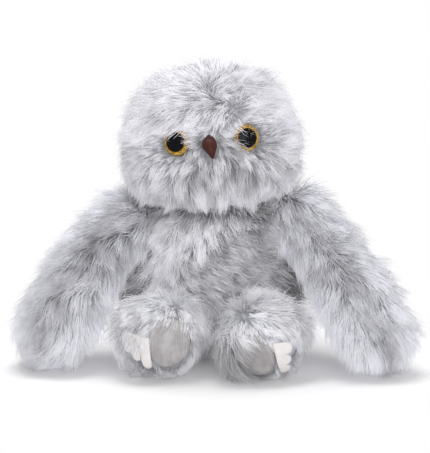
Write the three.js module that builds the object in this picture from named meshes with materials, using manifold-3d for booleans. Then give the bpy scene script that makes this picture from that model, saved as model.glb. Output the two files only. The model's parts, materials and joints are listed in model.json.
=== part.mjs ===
// A seated long-pile plush owl with stuffed wings and legs, and a sound unit behind the flap in its back.
// Millimetres, +Z up. It sits on z = 0 and faces -Y, so its own left side is +X.
import * as THREE from "three";
import { mergeVertices } from "three/addons/utils/BufferGeometryUtils.js";
import Module from "manifold-3d";

const wasm = await Module();
wasm.setup();

const { Vector2, Vector3 } = THREE;
const degrees = THREE.MathUtils.degToRad;

// Fur fabric: the long pile stands on a woven backing, and both are one skin here.
const PILE = 13;
const BACKING = 3;
const FUR = PILE + BACKING;

// Gaps: cloth that only touches, a limb turning in its sewn dish, and moulded parts.
const SEAM = 0.4;
const SWING = 0.7;
const FIT = 0.3;

// What is joined runs this far into its neighbour.
const JOIN = 0.5;

// Head: round above its widest level, squarer towards the cheeks and the beard.
const HEAD_RADIUS = 80;
const HEAD_CROWN = 76;
const HEAD_CHIN = 52;
const CHIN_SQUARENESS = 3;
const HEAD_TILT = degrees(3.3);
const NECK_HEIGHT = 138;
const NECK_Y = -6;

// Body: a pear of oval section, flat where it sits, its top hidden in the head. The outline is given in
// shares of the radius and of the height, and starts a little below the floor to be cut off flat.
const BODY_Y = 8;
const BODY_RADIUS = 67;
const BODY_DEPTH = 0.92;
const BODY_TOP = NECK_HEIGHT + 38;
const BODY_START = -0.5;
const BODY_OUTLINE = [
  [0.75, 0], [0.955, 0.15], [1, 0.34], [0.925, 0.58], [0.75, 0.785], [0.42, 0.945],
].map(([radius, height]) => [radius * BODY_RADIUS, height * BODY_TOP]);
BODY_OUTLINE[0][1] = BODY_START;

// Wings: stuffed sleeves of almost one width, each turning about the ball at its shoulder. The right
// shoulder is lower, clear of the cheek that the head leans over it. The tips rest on the floor.
const SHOULDERS = {
  left: new Vector3(77, 4, NECK_HEIGHT - 16),
  right: new Vector3(-80, 4, NECK_HEIGHT - 20),
};
const SHOULDER_RADIUS = 31;
const WING_RADIUS = 29;
const WING_TIP_RADIUS = 33;
const MOUTH_RADIUS = 9;
const FLOOR_SINK = 1;
const WING_BEND_HEIGHT = 0.61 * NECK_HEIGHT;
const WING_BENDS = { left: [110, -36], right: [-112, -22] };
const WING_TIPS = { left: [141, -72], right: [-142, -52] };

// Legs: short, with a round foot, each turning about the ball at its hip.
const HIP = new Vector3(38, -64, 40);
const HIP_RADIUS = 29;
const FOOT_RADIUS = 37;
const FEET = {
  left: { centre: new Vector3(43, -88, FOOT_RADIUS - FLOOR_SINK), dip: degrees(24), turn: degrees(-22) },
  right: { centre: new Vector3(-46, -84, FOOT_RADIUS - FLOOR_SINK), dip: degrees(2), turn: degrees(16) },
};

// Sole patch of short cloth, and beside it one felt piece cut into three talons. More of the felt shows
// on the right foot, where the talons hang down. On the left foot they point outwards.
const SOLE_WIDTH = 39;
const SOLE_HEIGHT = 44;
const SOLE_THICK = 3;
const SOLE_DEPTH = 6.5;
const SOLE_HEM = 8;
const TALON_THICK = 2.6;
const TALON_PITCH = degrees(16);
const TALON_NOTCH = 8;
const TALON_COUNT = 3;
const TALON_ROUNDNESS = 0.97;
const TALON_STEPS = 5;
const TALONS = {
  left: { roll: degrees(90), start: degrees(3), top: -6, rise: -3, length: 16, step: -1, slant: 0 },
  right: { roll: 0, start: degrees(19), top: 3, rise: 2.5, length: 28, step: 4.5, slant: degrees(6) },
};

// How finely the round forms are faceted: outside, and the wadding's own outline inside.
const BODY_SIDES = 22;
const HEAD_SIDES = 22;
const HEAD_STEPS = 6;
const LIMB_SIDES = 16;
const CORE_SIDES = 12;
const DISC_SIDES = 18;
const SPEAKER_SIDES = 22;
const ROD_SIDES = 16;
const BOSS_SIDES = 10;
const HOLE_SIDES = 8;
const EYE_SIDES = 24;
const EYE_STEPS = 5;
const BEAK_SIDES = 20;
const BEAK_STEPS = 8;

// Eyes and beak, set down in the pile on the backing of the face. The right eye is sewn closer in.
const EYE_RADIUS = 12;
const EYE_DOME = 6.5;
const EYE_RIM = 2;
const EYE_SPREAD = { left: 30, right: -27 };
const EYE_LEVEL = 64;
const EYE_SPLAY = degrees(20);
const EYE_LIFT = degrees(6);
const EYE_PARTING_SPREAD = 6;
const SHANK_RADIUS = 2.2;
const SHANK_LENGTH = 11;
const WASHER_RADIUS = 7;
const WASHER_THICK = 2;
const WASHER_SUNK = 0.9;
const PARTING_SPREAD = 8;
const PARTING_TOP = PILE + 4;
const BEAK_WIDTH = 13;
const BEAK_LENGTH = 22;
const BEAK_ABOVE = 0.42 * BEAK_LENGTH;
const BEAK_REACH = 15;
const BEAK_HOOK = 0.86 * BEAK_REACH;
const BEAK_LEVEL = 60;

// Neck joint: a disc and post in the head, turning in a disc in the body.
const DISC_RADIUS = 27;
const DISC_THICK = 3;
const POST_RADIUS = 6;
const POST_END = 4;
const LOCK_RADIUS = 14;
const LOCK_THICK = 3.5;

// Back flap: a patch of the body's fur on a cloth hinge along its top edge.
const FLAP_MARGIN = 2;
const FLAP_DROP = 2;
const FLAP_GAP = 0.6;
const FLAP_SWING = degrees(60);
const FLAP_PLAY = degrees(1);
const HINGE_ROOM = 4;
const TAPE_WIDTH = 40;
const TAPE_HEIGHT = 12;
const TAPE_THICK = 1.5;
const TAPE_RISE = 4;

// Sound unit: front and back shells, its front face at y = 0 of its own group. It is as wide, as high and
// as deep as the cells, the speaker and the controls inside it need.
const UNIT_CORNER = 6;
const UNIT_WALL = 1.8;
const BACK_ROOM = 3;
const CONTROL_ROOM = 12.5;
const SPEAKER_ROOM = 1.9;
const BOSS_RADIUS = 3;
const BOSS_INSET = 4.6;
const BOSS_HOLE_SPARE = 1;
const RIB = 0.8;
const SCREW_RADIUS = 1.1;
const SCREW_HEAD_RADIUS = 2.2;
const SCREW_HEAD_THICK = 1.6;
const SCREW_BITE = 7;
const CROSS_ARM = 0.55 * SCREW_HEAD_RADIUS;
const CROSS_HALF = 0.3;
const CROSS_DEPTH = 0.6;

// Battery bay: three slim cells side by side behind a screwed door.
const CELL_RADIUS = 5.25;
const CELL_LENGTH = 43.5;
const CELL_EDGE = 0.4;
const CELL_NUB_RADIUS = 1.9;
const CELL_NUB = 1;
const CELL_PITCH = 11.1;
const CELL_COUNT = 3;
const BAY_WALL = 1.5;
const BAY_SPARE = 1;
const CONTACT_THICK = 0.5;
const CONTACT_COIL = 3;
const CONTACT_WIRE = 0.6;
const COIL_RADII = [3.4, 2];
const DOOR_THICK = 1.8;
const DOOR_LEDGE = 3;
const DOOR_SCREW_LEDGE = 5;
const DOOR_SCREW_BITE = 4.2;

// Speaker, grille, board and the two controls.
const SPEAKER_RADIUS = 16;
const SPEAKER_DEPTH = 12;
const SPEAKER_SEAT = 1.5;
const MAGNET_RADIUS = 9;
const GRILLE_HOLE = 1.5;
const GRILLE_STEP = 5;
const GRILLE_RINGS = 2;
const BOARD_WIDTH = 38;
const BOARD_HEIGHT = 23;
const BOARD_THICK = 1.6;
const BOARD_Y = 11;
const BOARD_MARGIN = 1.2;
const STAND_RADIUS = 2;
const BUTTON_RADIUS = 9;
const BUTTON_STEM = 3.2;
const BUTTON_TRAVEL = 2.5;
const BUTTON_CAP = 2.2;
const BUTTON_BELOW = 1.5;
const SPRING_WIRE = 0.5;
const CHIP_SIZE = [9, 7];
const CHIP_CORNER = 0.5;
const CHIP_THICK = 1.5;
const SWITCH_SIZE = [10, 4.5];
const SWITCH_DEPTH = 5;
const TACT_SIZE = 6;
const TACT_THICK = 3;
const KNOB_WIDTH = 5;
const KNOB_HEIGHT = 4;
const KNOB_PROUD = 1.4;
const KNOB_TRAVEL = 4;
const FLANGE = 1;

// Longer than any piece: for cuts that run right through.
const FAR = 300;

// What follows from the sizes above.
const rimY = UNIT_WALL + FIT;
const splitY = rimY + SPEAKER_DEPTH + SPEAKER_ROOM;
const backStart = splitY + FIT;
const bayFloor = backStart + BAY_SPARE + BAY_WALL;
const unitDepth = bayFloor + 2 * CELL_RADIUS + 3 * FIT + DOOR_THICK;
const doorY = unitDepth - DOOR_THICK;
const bayWidth = CELL_COUNT * CELL_PITCH + 2;
const bayHeight = CELL_LENGTH + CELL_NUB + CONTACT_COIL + 2 * CONTACT_THICK + 4 * FIT;
const doorWidth = bayWidth + 2 * DOOR_LEDGE;
const doorHeight = bayHeight + DOOR_LEDGE + DOOR_SCREW_LEDGE;
const bossX = doorWidth / 2 + SCREW_HEAD_RADIUS + 2 * FIT + RIB;
const unitWidth = 2 * (bossX + BOSS_INSET);
const unitHeight = UNIT_WALL + doorHeight + CONTROL_ROOM;
const doorCentre = UNIT_WALL + (doorHeight - unitHeight) / 2;
const bayCentre = doorCentre - (DOOR_SCREW_LEDGE - DOOR_LEDGE) / 2;
const bossZ = unitHeight / 2 - BOSS_INSET;
const knobZ = unitHeight / 2 - CONTROL_ROOM / 2 - UNIT_WALL / 2;
const boardZ = unitHeight / 2 - UNIT_WALL - BOARD_MARGIN - BOARD_HEIGHT / 2;
const buttonZ = boardZ - BUTTON_BELOW;
const speakerZ = (boardZ - BOARD_HEIGHT / 2 - unitHeight / 2 + UNIT_WALL) / 2;

// Heights about the neck, from the head's lowest level down to the end of the neck post.
const discSeat = FUR + FIT;
const bodySeat = -FUR - SWING - FIT;
const lockTop = bodySeat - DISC_THICK - FIT;
const postEnd = lockTop - LOCK_THICK - POST_END;
const unitZ = NECK_HEIGHT + postEnd - FIT - unitHeight / 2;
const flapWidth = unitWidth + 2 * FLAP_MARGIN;
const flapTop = unitZ + unitHeight / 2 - FLAP_DROP;
const flapBottom = unitZ - unitHeight / 2 - FLAP_DROP;
const tipHeight = WING_TIP_RADIUS - FLOOR_SINK;
const washerSeat = BACKING - WASHER_SUNK;

// Solid modelling helpers.
function toSolid(geometry) {
  const bare = geometry.index ? geometry.toNonIndexed() : geometry.clone();
  bare.deleteAttribute("normal");
  bare.deleteAttribute("uv");
  const merged = mergeVertices(bare, 1e-4);
  const triVerts = new Uint32Array(merged.index.array);
  const vertProperties = new Float32Array(merged.attributes.position.array);
  const made = new wasm.Manifold(new wasm.Mesh({ numProp: 3, vertProperties, triVerts }));
  if (made.volume() > 0) return made;
  // A profile that was listed the other way round makes every face point inwards.
  for (let i = 0; i < triVerts.length; i += 3) {
    [triVerts[i + 1], triVerts[i + 2]] = [triVerts[i + 2], triVerts[i + 1]];
  }
  return new wasm.Manifold(new wasm.Mesh({ numProp: 3, vertProperties, triVerts }));
}

const cut = (whole, ...tools) => tools.reduce((rest, tool) => rest.subtract(tool), whole);
const join = (first, ...others) => others.reduce((all, other) => all.add(other), first);
const common = (a, b) => a.intersect(b);

function toMesh(name, solid, look) {
  const made = solid.getMesh();
  const count = made.numProp;
  const points = new Float32Array(made.numVert * 3);
  for (let i = 0; i < made.numVert; i++) {
    points.set(made.vertProperties.subarray(i * count, i * count + 3), i * 3);
  }
  const geometry = new THREE.BufferGeometry();
  geometry.setAttribute("position", new THREE.BufferAttribute(points, 3));
  geometry.setIndex(new THREE.BufferAttribute(made.triVerts, 1));
  geometry.computeVertexNormals();
  const mesh = new THREE.Mesh(geometry, new THREE.MeshStandardMaterial(look));
  mesh.name = name;
  return mesh;
}

// A block between two corners.
function block(x0, x1, y0, y1, z0, z1) {
  const box = new THREE.BoxGeometry(x1 - x0, y1 - y0, z1 - z0);
  return toSolid(box.translate((x0 + x1) / 2, (y0 + y1) / 2, (z0 + z1) / 2));
}

// The [radius, height] pairs of a plain column.
const column = (radius, low, high) => [[0, low], [radius, low], [radius, high], [0, high]];

// A body turned about +Z from [radius, height] pairs.
function turned(profile, sides) {
  const points = profile.map(([r, h]) => new Vector2(r, h));
  return new THREE.LatheGeometry(points, sides).rotateX(Math.PI / 2);
}

// The same, with its axis laid along +Y, as every round piece of the sound unit lies.
function turnedAlongY(profile, sides, x, z) {
  return toSolid(turned(profile, sides).rotateX(-Math.PI / 2).translate(x, 0, z));
}

function rod(radius, y0, y1, x, z, sides = ROD_SIDES) {
  return turnedAlongY(column(radius, y0, y1), sides, x, z);
}

// A closed skin over rings of points, with a pole at each end.
function skin(rings, firstPole, lastPole) {
  const sides = rings[0].length;
  const points = [firstPole, ...rings.flat(), lastPole];
  const faces = [];
  const at = (ring, side) => 1 + ring * sides + (side % sides);
  for (let s = 0; s < sides; s++) {
    faces.push(0, at(0, s + 1), at(0, s));
    faces.push(points.length - 1, at(rings.length - 1, s), at(rings.length - 1, s + 1));
    for (let r = 0; r + 1 < rings.length; r++) {
      faces.push(at(r, s), at(r, s + 1), at(r + 1, s + 1));
      faces.push(at(r, s), at(r + 1, s + 1), at(r + 1, s));
    }
  }
  const geometry = new THREE.BufferGeometry().setFromPoints(points);
  geometry.setIndex(faces);
  return geometry;
}

// Rings of given radii round a line of centres, carried along it without twisting.
function ringsAlong(centres, radii, sides) {
  let across = new Vector3();
  return centres.map((centre, i) => {
    const before = centres[Math.max(i - 1, 0)];
    const after = centres[Math.min(i + 1, centres.length - 1)];
    const tangent = after.clone().sub(before).normalize();
    if (i === 0) across.set(0, 0, 1).cross(tangent).normalize();
    across = across.clone().addScaledVector(tangent, -across.dot(tangent)).normalize();
    const third = tangent.clone().cross(across);
    return Array.from({ length: sides }, (_, s) => {
      const angle = (2 * Math.PI * s) / sides;
      const out = across.clone().multiplyScalar(Math.cos(angle) * radii[i]);
      return centre.clone().add(out).addScaledVector(third, Math.sin(angle) * radii[i]);
    });
  });
}

// A stuffed limb: it swells and tapers along its line between two round ends.
function limb(line, radii, inset, sides, steps, capRings = 4) {
  const curve = new THREE.CatmullRomCurve3(line);
  const radiusAt = (t) => {
    const place = Math.min(t * (radii.length - 1), radii.length - 1 - 1e-9);
    const first = Math.floor(place);
    const share = THREE.MathUtils.smoothstep(place - first, 0, 1);
    return THREE.MathUtils.lerp(radii[first], radii[first + 1], share) - inset;
  };
  const centres = [];
  const sizes = [];
  const cap = (end, tangent, radius, turn) => {
    centres.push(end.clone().addScaledVector(tangent, radius * Math.sin(turn)));
    sizes.push(radius * Math.cos(turn));
  };
  const [start, startTangent] = [curve.getPointAt(0), curve.getTangentAt(0)];
  const [end, endTangent] = [curve.getPointAt(1), curve.getTangentAt(1)];
  for (let i = capRings; i > 0; i--) {
    cap(start, startTangent, radiusAt(0), (-Math.PI / 2) * (i / (capRings + 1)));
  }
  for (let i = 0; i <= steps; i++) {
    centres.push(curve.getPointAt(i / steps));
    sizes.push(radiusAt(i / steps));
  }
  for (let i = 1; i <= capRings; i++) {
    cap(end, endTangent, radiusAt(1), (Math.PI / 2) * (i / (capRings + 1)));
  }
  const firstPole = start.clone().addScaledVector(startTangent, -radiusAt(0));
  const lastPole = end.clone().addScaledVector(endTangent, radiusAt(1));
  return toSolid(skin(ringsAlong(centres, sizes, sides), firstPole, lastPole));
}

// A faceted ball that a true ball of the given radius still fits in.
function ball(centre, radius, across = 16) {
  const outer = radius / Math.cos(Math.PI / across) ** 2;
  const sphere = new THREE.SphereGeometry(outer, across, across / 2);
  return toSolid(sphere.translate(centre.x, centre.y, centre.z));
}

const BELOW_FLOOR = block(-FAR, FAR, -FAR, FAR, -FAR, 0);

// Looks.
const FUR_LOOK = { color: 0xc3c3cb, roughness: 0.95, metalness: 0 };
const WADDING_LOOK = { color: 0xf1f0ec, roughness: 1, metalness: 0 };
const SUEDE_LOOK = { color: 0xaaa6a6, roughness: 0.9, metalness: 0 };
const FELT_LOOK = { color: 0xe6e2e1, roughness: 0.95, metalness: 0 };
const AMBER_LOOK = { color: 0x94702c, roughness: 0.08, metalness: 0 };
const HORN_LOOK = { color: 0x4e3029, roughness: 0.25, metalness: 0 };
const NYLON_LOOK = { color: 0xe9e7df, roughness: 0.5, metalness: 0 };
const TAPE_LOOK = { color: 0xa9a9b0, roughness: 1, metalness: 0 };
const CASE_LOOK = { color: 0x2b2c2f, roughness: 0.55, metalness: 0 };
const STEEL_LOOK = { color: 0xc4c6c9, roughness: 0.3, metalness: 1 };
const CELL_LOOK = { color: 0x4c5a63, roughness: 0.4, metalness: 0.3 };
const BOARD_LOOK = { color: 0x1f6b45, roughness: 0.5, metalness: 0 };
const PAPER_LOOK = { color: 0x1d1c1b, roughness: 0.9, metalness: 0 };
const KEY_LOOK = { color: 0xb9423a, roughness: 0.5, metalness: 0 };

const toy = new THREE.Group();

// Head, in its own frame: the origin is the neck, and +Z is the axis that it turns about.
const headGroup = new THREE.Group();
headGroup.position.set(0, NECK_Y, NECK_HEIGHT);
headGroup.rotation.y = -HEAD_TILT;
headGroup.updateMatrix();
toy.add(headGroup);

function headShape(inset, sides, steps) {
  const radius = HEAD_RADIUS - inset;
  const profile = [[0, inset]];
  for (let i = 1; i < 2 * steps; i++) {
    const angle = (Math.PI / 2) * (i / steps - 1);
    const lower = angle < 0;
    const power = lower ? 2 / CHIN_SQUARENESS : 1;
    const reach = (lower ? HEAD_CHIN : HEAD_CROWN) - inset;
    const rise = Math.sign(angle) * Math.abs(Math.sin(angle)) ** power;
    profile.push([radius * Math.cos(angle) ** power, HEAD_CHIN + reach * rise]);
  }
  profile.push([0, HEAD_CHIN + HEAD_CROWN - inset]);
  return turned(profile, sides);
}

function inNeck(geometry) {
  return toSolid(geometry.applyMatrix4(headGroup.matrix));
}

const headForm = (inset, sides, steps) => toSolid(headShape(inset, sides, steps));
const headInPlace = (inset) => inNeck(headShape(inset, HEAD_SIDES, HEAD_STEPS));

// The backing's distance in front of the neck axis, at a level and a distance to one side.
function faceDepth(x, level) {
  const radius = HEAD_RADIUS - PILE;
  const rise = (level - HEAD_CHIN) / (HEAD_CROWN - PILE);
  return Math.sqrt(radius * radius * (1 - rise * rise) - x * x);
}

// A turned piece set in the face, its axis pointing out of it from a point on the backing.
function setInFace(profile, sides, x, level, splay, lift) {
  const piece = turned(profile, sides);
  piece.rotateX(Math.PI / 2 - lift).rotateZ(splay);
  return toSolid(piece.translate(x, -faceDepth(x, level), level));
}

function washerProfile(depth) {
  const back = -depth - WASHER_THICK;
  const hole = SHANK_RADIUS + FIT;
  return [[hole, back], [WASHER_RADIUS, back], [WASHER_RADIUS, -depth], [hole, -depth], [hole, back]];
}

// The pile is parted round an eye or the beak, down to the backing, with a hole for the shank.
function faceHollow(radius, spread, ...place) {
  const cone = [[0, 0], [radius, 0], [radius + spread, PARTING_TOP], [0, PARTING_TOP]];
  return join(
    setInFace(cone, 14, ...place),
    setInFace(column(WASHER_RADIUS + SEAM, -2 * FUR, -washerSeat), HOLE_SIDES, ...place),
    setInFace(column(SHANK_RADIUS + FIT, -SHANK_LENGTH, JOIN), HOLE_SIDES, ...place),
  );
}

function eyeProfile() {
  const base = FIT;
  const shank = column(SHANK_RADIUS, -SHANK_LENGTH, base).slice(0, -1);
  const profile = [...shank, [EYE_RADIUS, base]];
  for (let i = 0; i < EYE_STEPS; i++) {
    const angle = (Math.PI / 2) * (i / EYE_STEPS);
    profile.push([EYE_RADIUS * Math.cos(angle), base + EYE_RIM + EYE_DOME * Math.sin(angle)]);
  }
  return [...profile, [0, base + EYE_RIM + EYE_DOME]];
}

const beakPlace = [0, BEAK_LEVEL, 0, 0];
const facePlaces = [beakPlace];
const hollows = [faceHollow(BEAK_WIDTH / 2 + 3, PARTING_SPREAD, ...beakPlace)];
for (const [side, sign] of [["left", 1], ["right", -1]]) {
  const place = [EYE_SPREAD[side], EYE_LEVEL, sign * EYE_SPLAY, EYE_LIFT];
  facePlaces.push(place);
  hollows.push(faceHollow(EYE_RADIUS + 1, EYE_PARTING_SPREAD, ...place));
  headGroup.add(toMesh(side + "_eye", setInFace(eyeProfile(), EYE_SIDES, ...place), AMBER_LOOK));
  const washer = setInFace(washerProfile(washerSeat + FIT), HOLE_SIDES, ...place);
  headGroup.add(toMesh(side + "_eye_washer", washer, NYLON_LOOK));
}

// Beak: a short hooked cone, its root square on the backing and its tip curling down.
function beakSolid() {
  const root = -faceDepth(0, BEAK_LEVEL) - FIT;
  const half = BEAK_WIDTH / 2;
  const tip = new Vector3(0, root - BEAK_HOOK, BEAK_LEVEL + BEAK_ABOVE - BEAK_LENGTH);
  const bend = new Vector3(0, root - BEAK_REACH, BEAK_LEVEL + 1);
  const arc = new THREE.QuadraticBezierCurve3(new Vector3(0, root, BEAK_LEVEL + 1), bend, tip);
  const centres = Array.from({ length: BEAK_STEPS }, (_, i) => arc.getPoint(i / BEAK_STEPS));
  const radii = centres.map((_, i) => half * Math.sqrt(1 - (i / BEAK_STEPS) ** 2));
  const shell = toSolid(skin(ringsAlong(centres, radii, BEAK_SIDES), centres[0], tip));
  const shank = setInFace(column(SHANK_RADIUS, -SHANK_LENGTH, 2 * JOIN), ROD_SIDES, ...beakPlace);
  const behind = block(-BEAK_WIDTH, BEAK_WIDTH, root, root + BEAK_LENGTH, 0, 2 * BEAK_LEVEL);
  return join(cut(shell, behind), shank);
}

headGroup.add(toMesh("beak", beakSolid(), HORN_LOOK));
const beakWasher = setInFace(washerProfile(washerSeat + FIT), HOLE_SIDES, ...beakPlace);
headGroup.add(toMesh("beak_washer", beakWasher, NYLON_LOOK));

// Neck joint, turned about the neck axis.
const postHole = POST_RADIUS + FIT;

const neckPost = turned([
  [0, postEnd], [POST_RADIUS, postEnd], [POST_RADIUS, discSeat], [DISC_RADIUS, discSeat],
  [DISC_RADIUS, discSeat + DISC_THICK], [0, discSeat + DISC_THICK],
], DISC_SIDES);

function ringShape(hole, radius, low, high) {
  return turned([[hole, low], [radius, low], [radius, high], [hole, high], [hole, low]], DISC_SIDES);
}

const plug = (radius, low, high) => turned(column(radius, low, high), DISC_SIDES);

headGroup.add(toMesh("neck_disc_and_post", toSolid(neckPost), NYLON_LOOK));
const lockRing = ringShape(POST_RADIUS + FIT / 2, LOCK_RADIUS, lockTop - LOCK_THICK, lockTop);
headGroup.add(toMesh("neck_lock_washer", toSolid(lockRing), NYLON_LOOK));

const headSkin = cut(
  headForm(0, HEAD_SIDES, HEAD_STEPS),
  headForm(FUR, CORE_SIDES, 4),
  toSolid(plug(postHole, -FUR, 2 * FUR)),
  toSolid(plug(DISC_RADIUS + SEAM, FUR, 2 * FUR)),
  ...hollows,
);
headGroup.add(toMesh("head_fur", headSkin, FUR_LOOK));

const headFilling = cut(
  headForm(FUR + SEAM, CORE_SIDES, 4),
  toSolid(plug(DISC_RADIUS + SEAM, FUR - 1, discSeat + DISC_THICK + SEAM)),
  ...facePlaces
    .map((place) => setInFace(column(WASHER_RADIUS + SEAM, -SHANK_LENGTH - 1, 0), BOSS_SIDES, ...place)),
);
headGroup.add(toMesh("head_stuffing", headFilling, WADDING_LOOK));

// Body.
function bodyForm(inset, sides, steps) {
  const curve = new THREE.SplineCurve([...BODY_OUTLINE, [0, BODY_TOP]].map(([r, h]) => new Vector2(r, h)));
  const profile = [[0, BODY_START + inset]];
  for (let i = 0; i < steps; i++) {
    const point = curve.getPoint(i / steps);
    const tangent = curve.getTangent(i / steps);
    const height = Math.max(point.y + tangent.x * inset, BODY_START + inset);
    profile.push([point.x - tangent.y * inset, height]);
  }
  profile.push([0, BODY_TOP - inset]);
  const form = turned(profile, sides).scale(1, BODY_DEPTH, 1);
  // Scaling thins the inset front and back, so the section is set again at its own depth.
  const lost = inset * (1 - BODY_DEPTH);
  const places = form.attributes.position;
  for (let i = 0; i < places.count; i++) {
    places.setY(i, places.getY(i) * (1 - lost / (BODY_DEPTH * BODY_RADIUS)) + BODY_Y);
  }
  return toSolid(form);
}

const sides = [["left", 1], ["right", -1]];
const mirrored = (point, sign) => new Vector3(point.x * sign, point.y, point.z);

const shoulderSeats = sides.map(([side]) => ball(SHOULDERS[side], SHOULDER_RADIUS + SWING));
const hipSeats = sides.map(([, sign]) => ball(mirrored(HIP, sign), HIP_RADIUS + SWING));

const cavity = cut(bodyForm(FUR, CORE_SIDES, 6), headInPlace(-FUR - SWING));
const half = flapWidth / 2;
const rake = Math.tan(FLAP_SWING / 2 + FLAP_PLAY);

// The depth of the backing behind the body's axis, at the flap's top edge and a distance to one side.
function backingDepth(x) {
  const above = BODY_OUTLINE.findIndex(([, height]) => height > flapTop);
  const [low, high] = [BODY_OUTLINE[above - 1], BODY_OUTLINE[above]];
  const share = (flapTop - low[1]) / (high[1] - low[1]);
  const radius = THREE.MathUtils.lerp(low[0], high[0], share) - FUR;
  return BODY_Y + BODY_DEPTH * Math.sqrt(radius ** 2 - x ** 2);
}

// The hinge lies at the mean of the depths across the flap, and the sound unit stands in front of them.
const hingeY = (backingDepth(0) + backingDepth(half)) / 2;
const unitY = backingDepth(half) - BACK_ROOM - unitDepth;

// The V along the flap's top edge, open by the angle that the flap swings through.
function vNotch(x, slopeDown, slopeUp) {
  const profile = new THREE.Shape([
    new Vector2(hingeY, flapTop),
    new Vector2(hingeY + FAR, flapTop - FAR * slopeDown),
    new Vector2(hingeY + FAR, flapTop + FAR * slopeUp),
  ]);
  const wedge = new THREE.ExtrudeGeometry(profile, { depth: 2 * x, bevelEnabled: false });
  // The profile's plane is turned to stand across the toy.
  const across = [new Vector3(0, 1, 0), new Vector3(0, 0, 1), new Vector3(1, 0, 0)];
  wedge.applyMatrix4(new THREE.Matrix4().makeBasis(...across));
  return toSolid(wedge.translate(-x, 0, 0));
}

const windowX = half + FLAP_GAP;
const backWindow = block(-windowX, windowX, BODY_Y, FAR, flapBottom - FLAP_GAP, flapTop + FLAP_GAP);
const wholeBody = cut(
  bodyForm(0, BODY_SIDES, 8),
  BELOW_FLOOR,
  headInPlace(-SWING),
  ...shoulderSeats,
  ...hipSeats,
);
const bodySkin = cut(
  wholeBody,
  cavity,
  backWindow,
  vNotch(windowX, 0, rake),
  inNeck(plug(postHole, -FAR, FUR)),
  inNeck(plug(DISC_RADIUS + SEAM, bodySeat - FUR, bodySeat + FIT)),
);
toy.add(toMesh("body_fur", bodySkin, FUR_LOOK));

const bodyDisc = ringShape(postHole, DISC_RADIUS, bodySeat - DISC_THICK, bodySeat);
toy.add(toMesh("neck_disc_in_body", inNeck(bodyDisc), NYLON_LOOK));

const flapSkin = cut(
  common(cut(wholeBody, cavity), block(-half, half, BODY_Y, FAR, flapBottom, flapTop)),
  vNotch(half + 1, rake, 0),
);
toy.add(toMesh("back_flap", flapSkin, FUR_LOOK));

// Hook-and-loop closure: hooks on the flap, loops on a tab that stands up behind its lower edge.
const layer = (from, to) => cut(bodyForm(FUR + from, CORE_SIDES, 6), bodyForm(FUR + to, CORE_SIDES, 6));
const tapeX = TAPE_WIDTH / 2;
const tapeFoot = flapBottom + TAPE_RISE;
const tapeTop = tapeFoot + TAPE_HEIGHT;
const hookBand = block(-tapeX, tapeX, BODY_Y, FAR, tapeFoot, tapeTop);
const hookTape = common(layer(FIT, FIT + TAPE_THICK), hookBand);
toy.add(toMesh("flap_hook_tape", hookTape, TAPE_LOOK));
const loopStart = 2 * FIT + TAPE_THICK;
const tabFoot = flapBottom - TAPE_HEIGHT;
const tabBand = block(-tapeX, tapeX, BODY_Y, FAR, tabFoot, tapeTop);
const tabRecess = common(layer(-2, loopStart), block(-half, half, BODY_Y, FAR, flapBottom - 2, flapTop));
const loopTab = cut(common(layer(FIT, loopStart + TAPE_THICK), tabBand), tabRecess);
toy.add(toMesh("loop_tape_tab", loopTab, TAPE_LOOK));

// Sound unit.
const unit = new THREE.Group();
unit.position.set(0, unitY, unitZ);
toy.add(unit);

function slab(width, height, corner, y0, y1, z = 0, x = 0) {
  const [w, h] = [width / 2, height / 2];
  const outline = new THREE.Shape();
  outline.moveTo(w, h - corner);
  outline.absarc(w - corner, h - corner, corner, 0, Math.PI / 2);
  outline.absarc(corner - w, h - corner, corner, Math.PI / 2, Math.PI);
  outline.absarc(corner - w, corner - h, corner, Math.PI, 1.5 * Math.PI);
  outline.absarc(w - corner, corner - h, corner, 1.5 * Math.PI, 2 * Math.PI);
  const settings = { depth: y1 - y0, bevelEnabled: false, curveSegments: 3 };
  return toSolid(new THREE.ExtrudeGeometry(outline, settings).rotateX(Math.PI / 2).translate(x, y1, z));
}

const corners = [[1, 1], [1, -1], [-1, -1], [-1, 1]].map(([x, z]) => [x * bossX, z * bossZ]);

// Grille holes lie on rings round the speaker's centre, six more on each ring.
function grilleHoles() {
  const holes = [rod(GRILLE_HOLE, -1, UNIT_WALL + 1, 0, speakerZ, 6)];
  for (let ring = 1; ring <= GRILLE_RINGS; ring++) {
    for (let i = 0; i < 6 * ring; i++) {
      const angle = (2 * Math.PI * i) / (6 * ring);
      const x = ring * GRILLE_STEP * Math.cos(angle);
      const z = speakerZ + ring * GRILLE_STEP * Math.sin(angle);
      holes.push(rod(GRILLE_HOLE, -1, UNIT_WALL + 1, x, z, 6));
    }
  }
  return holes;
}

const inner = [unitWidth - 2 * UNIT_WALL, unitHeight - 2 * UNIT_WALL, UNIT_CORNER - UNIT_WALL];
const speakerSeat = turnedAlongY([
  [SPEAKER_RADIUS + FIT, UNIT_WALL - JOIN], [SPEAKER_RADIUS + FIT + SPEAKER_SEAT, UNIT_WALL - JOIN],
  [SPEAKER_RADIUS + FIT + SPEAKER_SEAT, UNIT_WALL + 2 * SPEAKER_SEAT],
  [SPEAKER_RADIUS + FIT, UNIT_WALL + 2 * SPEAKER_SEAT], [SPEAKER_RADIUS + FIT, UNIT_WALL - JOIN],
], SPEAKER_SIDES, 0, speakerZ);
const standX = BOARD_WIDTH / 2 - STAND_RADIUS - FLANGE;
const standZ = boardZ + BOARD_HEIGHT / 2 - STAND_RADIUS - FLANGE;
const boardStands = [-standX, standX]
  .map((x) => rod(STAND_RADIUS, UNIT_WALL - JOIN, BOARD_Y - FIT, x, standZ, BOSS_SIDES));
const atCorners = (radius, low, high, sides) => corners.map(([x, z]) => rod(radius, low, high, x, z, sides));
const boreEnd = splitY - SCREW_BITE - BOSS_HOLE_SPARE;
const headBed = unitDepth - SCREW_HEAD_THICK - 1;

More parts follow.
